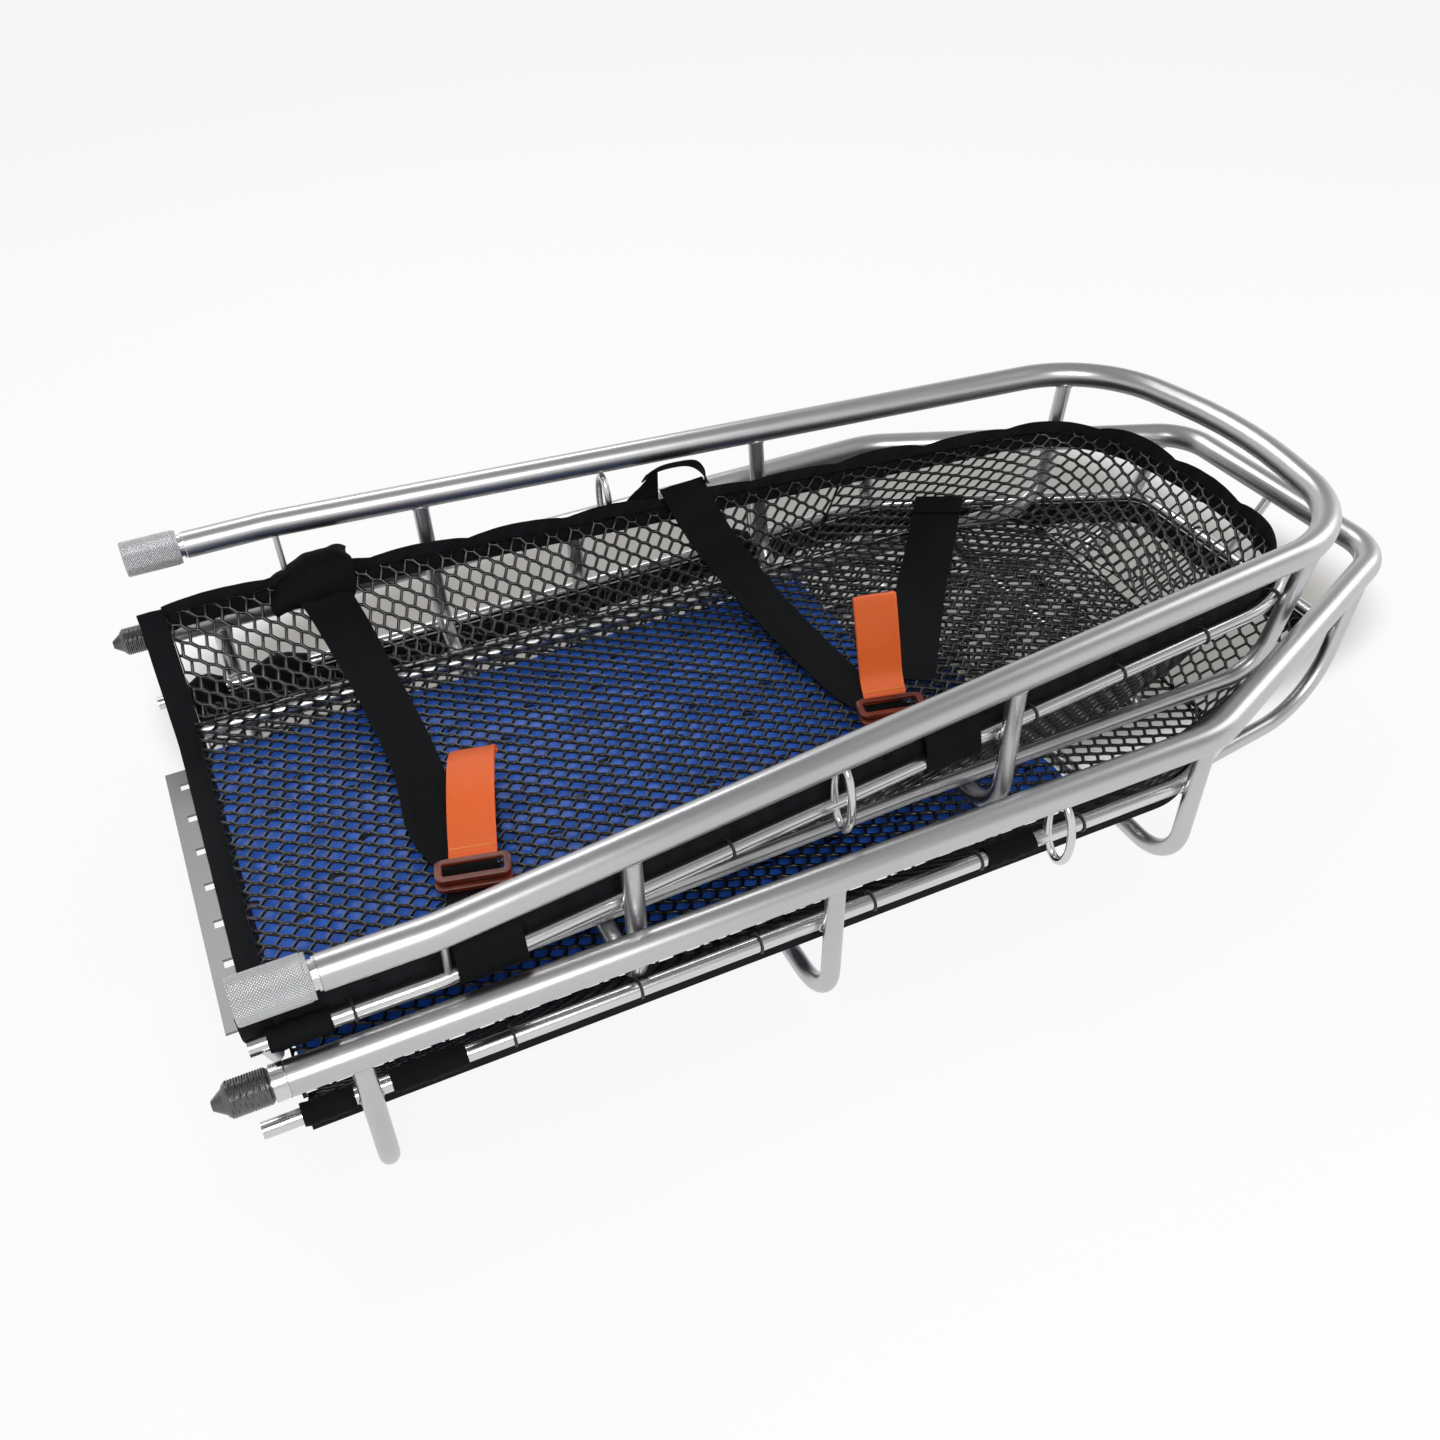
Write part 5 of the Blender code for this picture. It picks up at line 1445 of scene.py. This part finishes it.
def build_stage(settings):
    """The floor, the world, three lights and the camera."""
    work = bmesh.new()
    bmesh.ops.create_grid(work, x_segments=1, y_segments=1, size=6.0)
    mesh = mesh_from(work, "floor")
    floor = bpy.data.objects.new("floor", mesh)
    STAGE.objects.link(floor)
    floor.location = (0.0, 0.0, -0.0005)
    mesh.materials.append(MATERIALS["floor"])
    world = bpy.data.worlds.new("studio")
    bpy.context.scene.world = world
    world.use_nodes = True
    tree = world.node_tree
    tree.nodes.clear()
    seen = add_node(tree, "ShaderNodeBackground")
    seen.inputs["Color"].default_value = (1.0, 1.0, 1.0, 1.0)
    direction = add_node(tree, "ShaderNodeSeparateXYZ")
    tree.links.new(add_node(tree, "ShaderNodeTexCoord").outputs["Generated"], direction.inputs["Vector"])
    dome = add_node(tree, "ShaderNodeMapRange", interpolation_type="SMOOTHSTEP")
    for socket, value in (("From Min", 0.05), ("From Max", 0.60), ("To Min", 1.0), ("To Max", 0.40)):
        dome.inputs[socket].default_value = value
    tree.links.new(direction.outputs["Z"], dome.inputs["Value"])
    tree.links.new(dome.outputs["Result"], seen.inputs["Strength"])
    lit = add_node(tree, "ShaderNodeBackground")
    lit.inputs["Color"].default_value = (0.62, 0.64, 0.66, 1.0)
    lit.inputs["Strength"].default_value = settings.ambient
    mix = add_node(tree, "ShaderNodeMixShader")
    out = add_node(tree, "ShaderNodeOutputWorld")
    tree.links.new(seen_rays(tree), mix.inputs["Fac"])
    tree.links.new(lit.outputs["Background"], mix.inputs[1])
    tree.links.new(seen.outputs["Background"], mix.inputs[2])
    tree.links.new(mix.outputs["Shader"], out.inputs["Surface"])
    power = settings.key_power
    lights = [area_light("key", (-0.6, -1.9, 1.9), (0.0, 0.0, 0.1), (1.0, 0.6), power),
              area_light("back", (-0.2, 1.6, 1.9), (0.0, 0.0, 0.1), (1.8, 0.6), power * 0.5),
              area_light("side", (1.9, -0.2, 1.3), (0.1, 0.0, 0.1), (0.8, 1.4), power * 0.25)]
    bpy.context.scene.view_settings.view_transform = "Standard"
    add_camera()


def add_camera():
    """The photograph's camera, level but for its roll."""
    turn, rise, roll = CAMERA_TURN, CAMERA_RISE, CAMERA_ROLL
    back = Vector((math.sin(turn) * math.cos(rise), -math.cos(turn) * math.cos(rise), math.sin(rise)))
    level = Vector((math.cos(turn), math.sin(turn), 0.0))
    over = back.cross(level)
    right = level * math.cos(roll) + over * math.sin(roll)
    up = over * math.cos(roll) - level * math.sin(roll)
    lens = bpy.data.cameras.new("photo_camera")
    lens.sensor_width = 36.0
    lens.lens = CAMERA_LENS
    camera = bpy.data.objects.new("photo_camera", lens)
    STAGE.objects.link(camera)
    rotation = Matrix((right, up, back)).transposed()
    camera.matrix_world = Matrix.Translation(CAMERA_PLACE) @ rotation.to_4x4()
    bpy.context.scene.camera = camera


# Settings, operators and panel

class StretcherSettings(bpy.types.PropertyGroup):
    """Sizes, colours and light a user may change"""
    steel_colour: bpy.props.FloatVectorProperty(
        name="Satin steel", description="Colour of the rails and ribs",
        default=(0.58, 0.58, 0.59), min=0.0, max=1.0, subtype="COLOR")
    polished_colour: bpy.props.FloatVectorProperty(
        name="Polished steel", description="Colour of the net rails and rings",
        default=(0.70, 0.70, 0.70), min=0.0, max=1.0, subtype="COLOR")
    webbing_colour: bpy.props.FloatVectorProperty(
        name="Webbing", description="Colour of the black webbing",
        default=(0.0080, 0.0085, 0.0095), min=0.0, max=1.0, subtype="COLOR")
    net_colour: bpy.props.FloatVectorProperty(
        name="Net", description="Colour of the net coating",
        default=(0.0140, 0.0146, 0.0156), min=0.0, max=1.0, subtype="COLOR")
    orange_colour: bpy.props.FloatVectorProperty(
        name="Pull tabs", description="Colour of the orange webbing",
        default=(0.92, 0.150, 0.024), min=0.0, max=1.0, subtype="COLOR")
    buckle_colour: bpy.props.FloatVectorProperty(
        name="Buckles", description="Colour of the buckle coating",
        default=(0.24, 0.026, 0.007), min=0.0, max=1.0, subtype="COLOR")
    blue_colour: bpy.props.FloatVectorProperty(
        name="Bed sheets", description="Colour of the blue sheets",
        default=(0.045, 0.185, 0.82), min=0.0, max=1.0, subtype="COLOR")
    # The grey of the painted shadow patch on the floor under the stretcher
    floor_shadow_colour: bpy.props.FloatVectorProperty(
        name="Floor", description="Colour of the floor under the stretcher",
        default=(0.57, 0.55, 0.52), min=0.0, max=1.0, subtype="COLOR")
    tube_resolution: bpy.props.IntProperty(
        name="Tube roundness", description="Bevel resolution of the tubes", default=8, min=2, max=20)
    bead_radius: bpy.props.FloatProperty(
        name="Weld bead", description="Radius of the weld beads", default=0.0013, unit="LENGTH", precision=4)
    thread_pitch: bpy.props.FloatProperty(
        name="Thread pitch", description="Pitch of the stud threads",
        default=0.0018, unit="LENGTH", precision=4)
    cell_length: bpy.props.FloatProperty(
        name="Net gap length", description="Length of a net gap", default=0.0148, unit="LENGTH", precision=4)
    cell_width: bpy.props.FloatProperty(
        name="Net gap width", description="Pitch of the net's rows",
        default=0.0136, unit="LENGTH", precision=4)
    zigzag: bpy.props.FloatProperty(
        name="Net zigzag", description="How far the long strands swing",
        default=0.0012, unit="LENGTH", precision=4)
    strand: bpy.props.FloatProperty(
        name="Net strand", description="Thickness of a net strand",
        default=0.0040, unit="LENGTH", precision=4)
    scallop: bpy.props.FloatProperty(
        name="Scallop", description="Rise of the binding between its ties",
        default=0.008, unit="LENGTH", precision=4)
    tie_spacing: bpy.props.FloatProperty(
        name="Tie spacing", description="Distance between tie cords",
        default=0.098, unit="LENGTH", precision=4)
    strap_width: bpy.props.FloatProperty(
        name="Strap width", description="Width of the black webbing",
        default=0.050, unit="LENGTH", precision=4)
    fold: bpy.props.FloatProperty(
        name="Strap fold", description="Depth of the lengthwise folds",
        default=0.002, unit="LENGTH", precision=4)
    key_power: bpy.props.FloatProperty(
        name="Key light", description="Power of the key light", default=35.0, unit="POWER")
    ambient: bpy.props.FloatProperty(
        name="Ambient", description="Strength of the light from all round", default=0.50)


class STRETCHER_OT_materials(bpy.types.Operator):
    """Finishes from the colours in the settings"""
    bl_idname = "stretcher.materials"
    bl_label = "Build materials"
    bl_options = {"REGISTER", "UNDO"}

    def execute(self, context):
        build_materials(context.scene.stretcher_settings)
        return {"FINISHED"}


class STRETCHER_OT_solids(bpy.types.Operator):
    """Finishes for the plate and ferrules that show as they are"""
    bl_idname = "stretcher.solids"
    bl_label = "Dress solids"
    bl_options = {"REGISTER", "UNDO"}

    def execute(self, context):
        dress_solids()
        return {"FINISHED"}


class STRETCHER_OT_tubes(bpy.types.Operator):
    """Rails, ribs, runners, rings and weld beads"""
    bl_idname = "stretcher.tubes"
    bl_label = "Build tubes"
    bl_options = {"REGISTER", "UNDO"}

    def execute(self, context):
        build_tubes(context.scene.stretcher_settings)
        return {"FINISHED"}


class STRETCHER_OT_rods(bpy.types.Operator):
    """Cross tube, tie rods, end hoop and nose post"""
    bl_idname = "stretcher.rods"
    bl_label = "Build rods"
    bl_options = {"REGISTER", "UNDO"}

    def execute(self, context):
        build_rods(context.scene.stretcher_settings)
        return {"FINISHED"}


class STRETCHER_OT_couplings(bpy.types.Operator):
    """Studs, shoulders and collars"""
    bl_idname = "stretcher.couplings"
    bl_label = "Build couplings"
    bl_options = {"REGISTER", "UNDO"}

    def execute(self, context):
        build_couplings(context.scene.stretcher_settings)
        return {"FINISHED"}


class STRETCHER_OT_nets(bpy.types.Operator):
    """The floor nets and wall nets of both halves"""
    bl_idname = "stretcher.nets"
    bl_label = "Build nets"
    bl_options = {"REGISTER", "UNDO"}

    def execute(self, context):
        build_nets(context.scene.stretcher_settings)
        return {"FINISHED"}


class STRETCHER_OT_bindings(bpy.types.Operator):
    """Net bindings, ties, end band and sleeves"""
    bl_idname = "stretcher.bindings"
    bl_label = "Build bindings"
    bl_options = {"REGISTER", "UNDO"}

    def execute(self, context):
        build_bindings(context.scene.stretcher_settings)
        return {"FINISHED"}


class STRETCHER_OT_beds(bpy.types.Operator):
    """The blue sheets under the nets"""
    bl_idname = "stretcher.beds"
    bl_label = "Build beds"
    bl_options = {"REGISTER", "UNDO"}

    def execute(self, context):
        build_beds()
        return {"FINISHED"}


class STRETCHER_OT_straps(bpy.types.Operator):
    """Black webbing straps"""
    bl_idname = "stretcher.straps"
    bl_label = "Build straps"
    bl_options = {"REGISTER", "UNDO"}

    def execute(self, context):
        build_straps(context.scene.stretcher_settings)
        return {"FINISHED"}


class STRETCHER_OT_buckles(bpy.types.Operator):
    """Buckles and orange pull tabs"""
    bl_idname = "stretcher.buckles"
    bl_label = "Build buckles"
    bl_options = {"REGISTER", "UNDO"}

    def execute(self, context):
        build_buckles()
        return {"FINISHED"}


class STRETCHER_OT_stage(bpy.types.Operator):
    """Floor, lights, world and camera"""
    bl_idname = "stretcher.stage"
    bl_label = "Build stage"
    bl_options = {"REGISTER", "UNDO"}

    def execute(self, context):
        build_stage(context.scene.stretcher_settings)
        return {"FINISHED"}


OPERATORS = [
    STRETCHER_OT_materials,
    STRETCHER_OT_solids,
    STRETCHER_OT_tubes,
    STRETCHER_OT_rods,
    STRETCHER_OT_couplings,
    STRETCHER_OT_nets,
    STRETCHER_OT_bindings,
    STRETCHER_OT_beds,
    STRETCHER_OT_straps,
    STRETCHER_OT_buckles,
    STRETCHER_OT_stage,
]


class STRETCHER_PT_panel(bpy.types.Panel):
    """Settings and buttons for the stretcher's looks"""
    bl_idname = "STRETCHER_PT_panel"
    bl_label = "Basket stretcher"
    bl_space_type = "VIEW_3D"
    bl_region_type = "UI"
    bl_category = "Stretcher"

    def draw(self, context):
        settings = context.scene.stretcher_settings
        for name in StretcherSettings.__annotations__:
            self.layout.prop(settings, name)
        for kind in OPERATORS:
            self.layout.operator(kind.bl_idname)


CLASSES = [StretcherSettings, *OPERATORS, STRETCHER_PT_panel]


def register():
    for kind in CLASSES:
        bpy.utils.register_class(kind)
    bpy.types.Scene.stretcher_settings = bpy.props.PointerProperty(type=StretcherSettings)


def unregister():
    del bpy.types.Scene.stretcher_settings
    for kind in reversed(CLASSES):
        bpy.utils.unregister_class(kind)


def main():
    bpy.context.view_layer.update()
    register()
    bpy.ops.stretcher.materials()
    bpy.ops.stretcher.solids()
    bpy.ops.stretcher.tubes()
    bpy.ops.stretcher.rods()
    bpy.ops.stretcher.couplings()
    bpy.ops.stretcher.nets()
    bpy.ops.stretcher.bindings()
    bpy.ops.stretcher.beds()
    bpy.ops.stretcher.straps()
    bpy.ops.stretcher.buckles()
    bpy.ops.stretcher.stage()


if __name__ == "__main__":
    main()
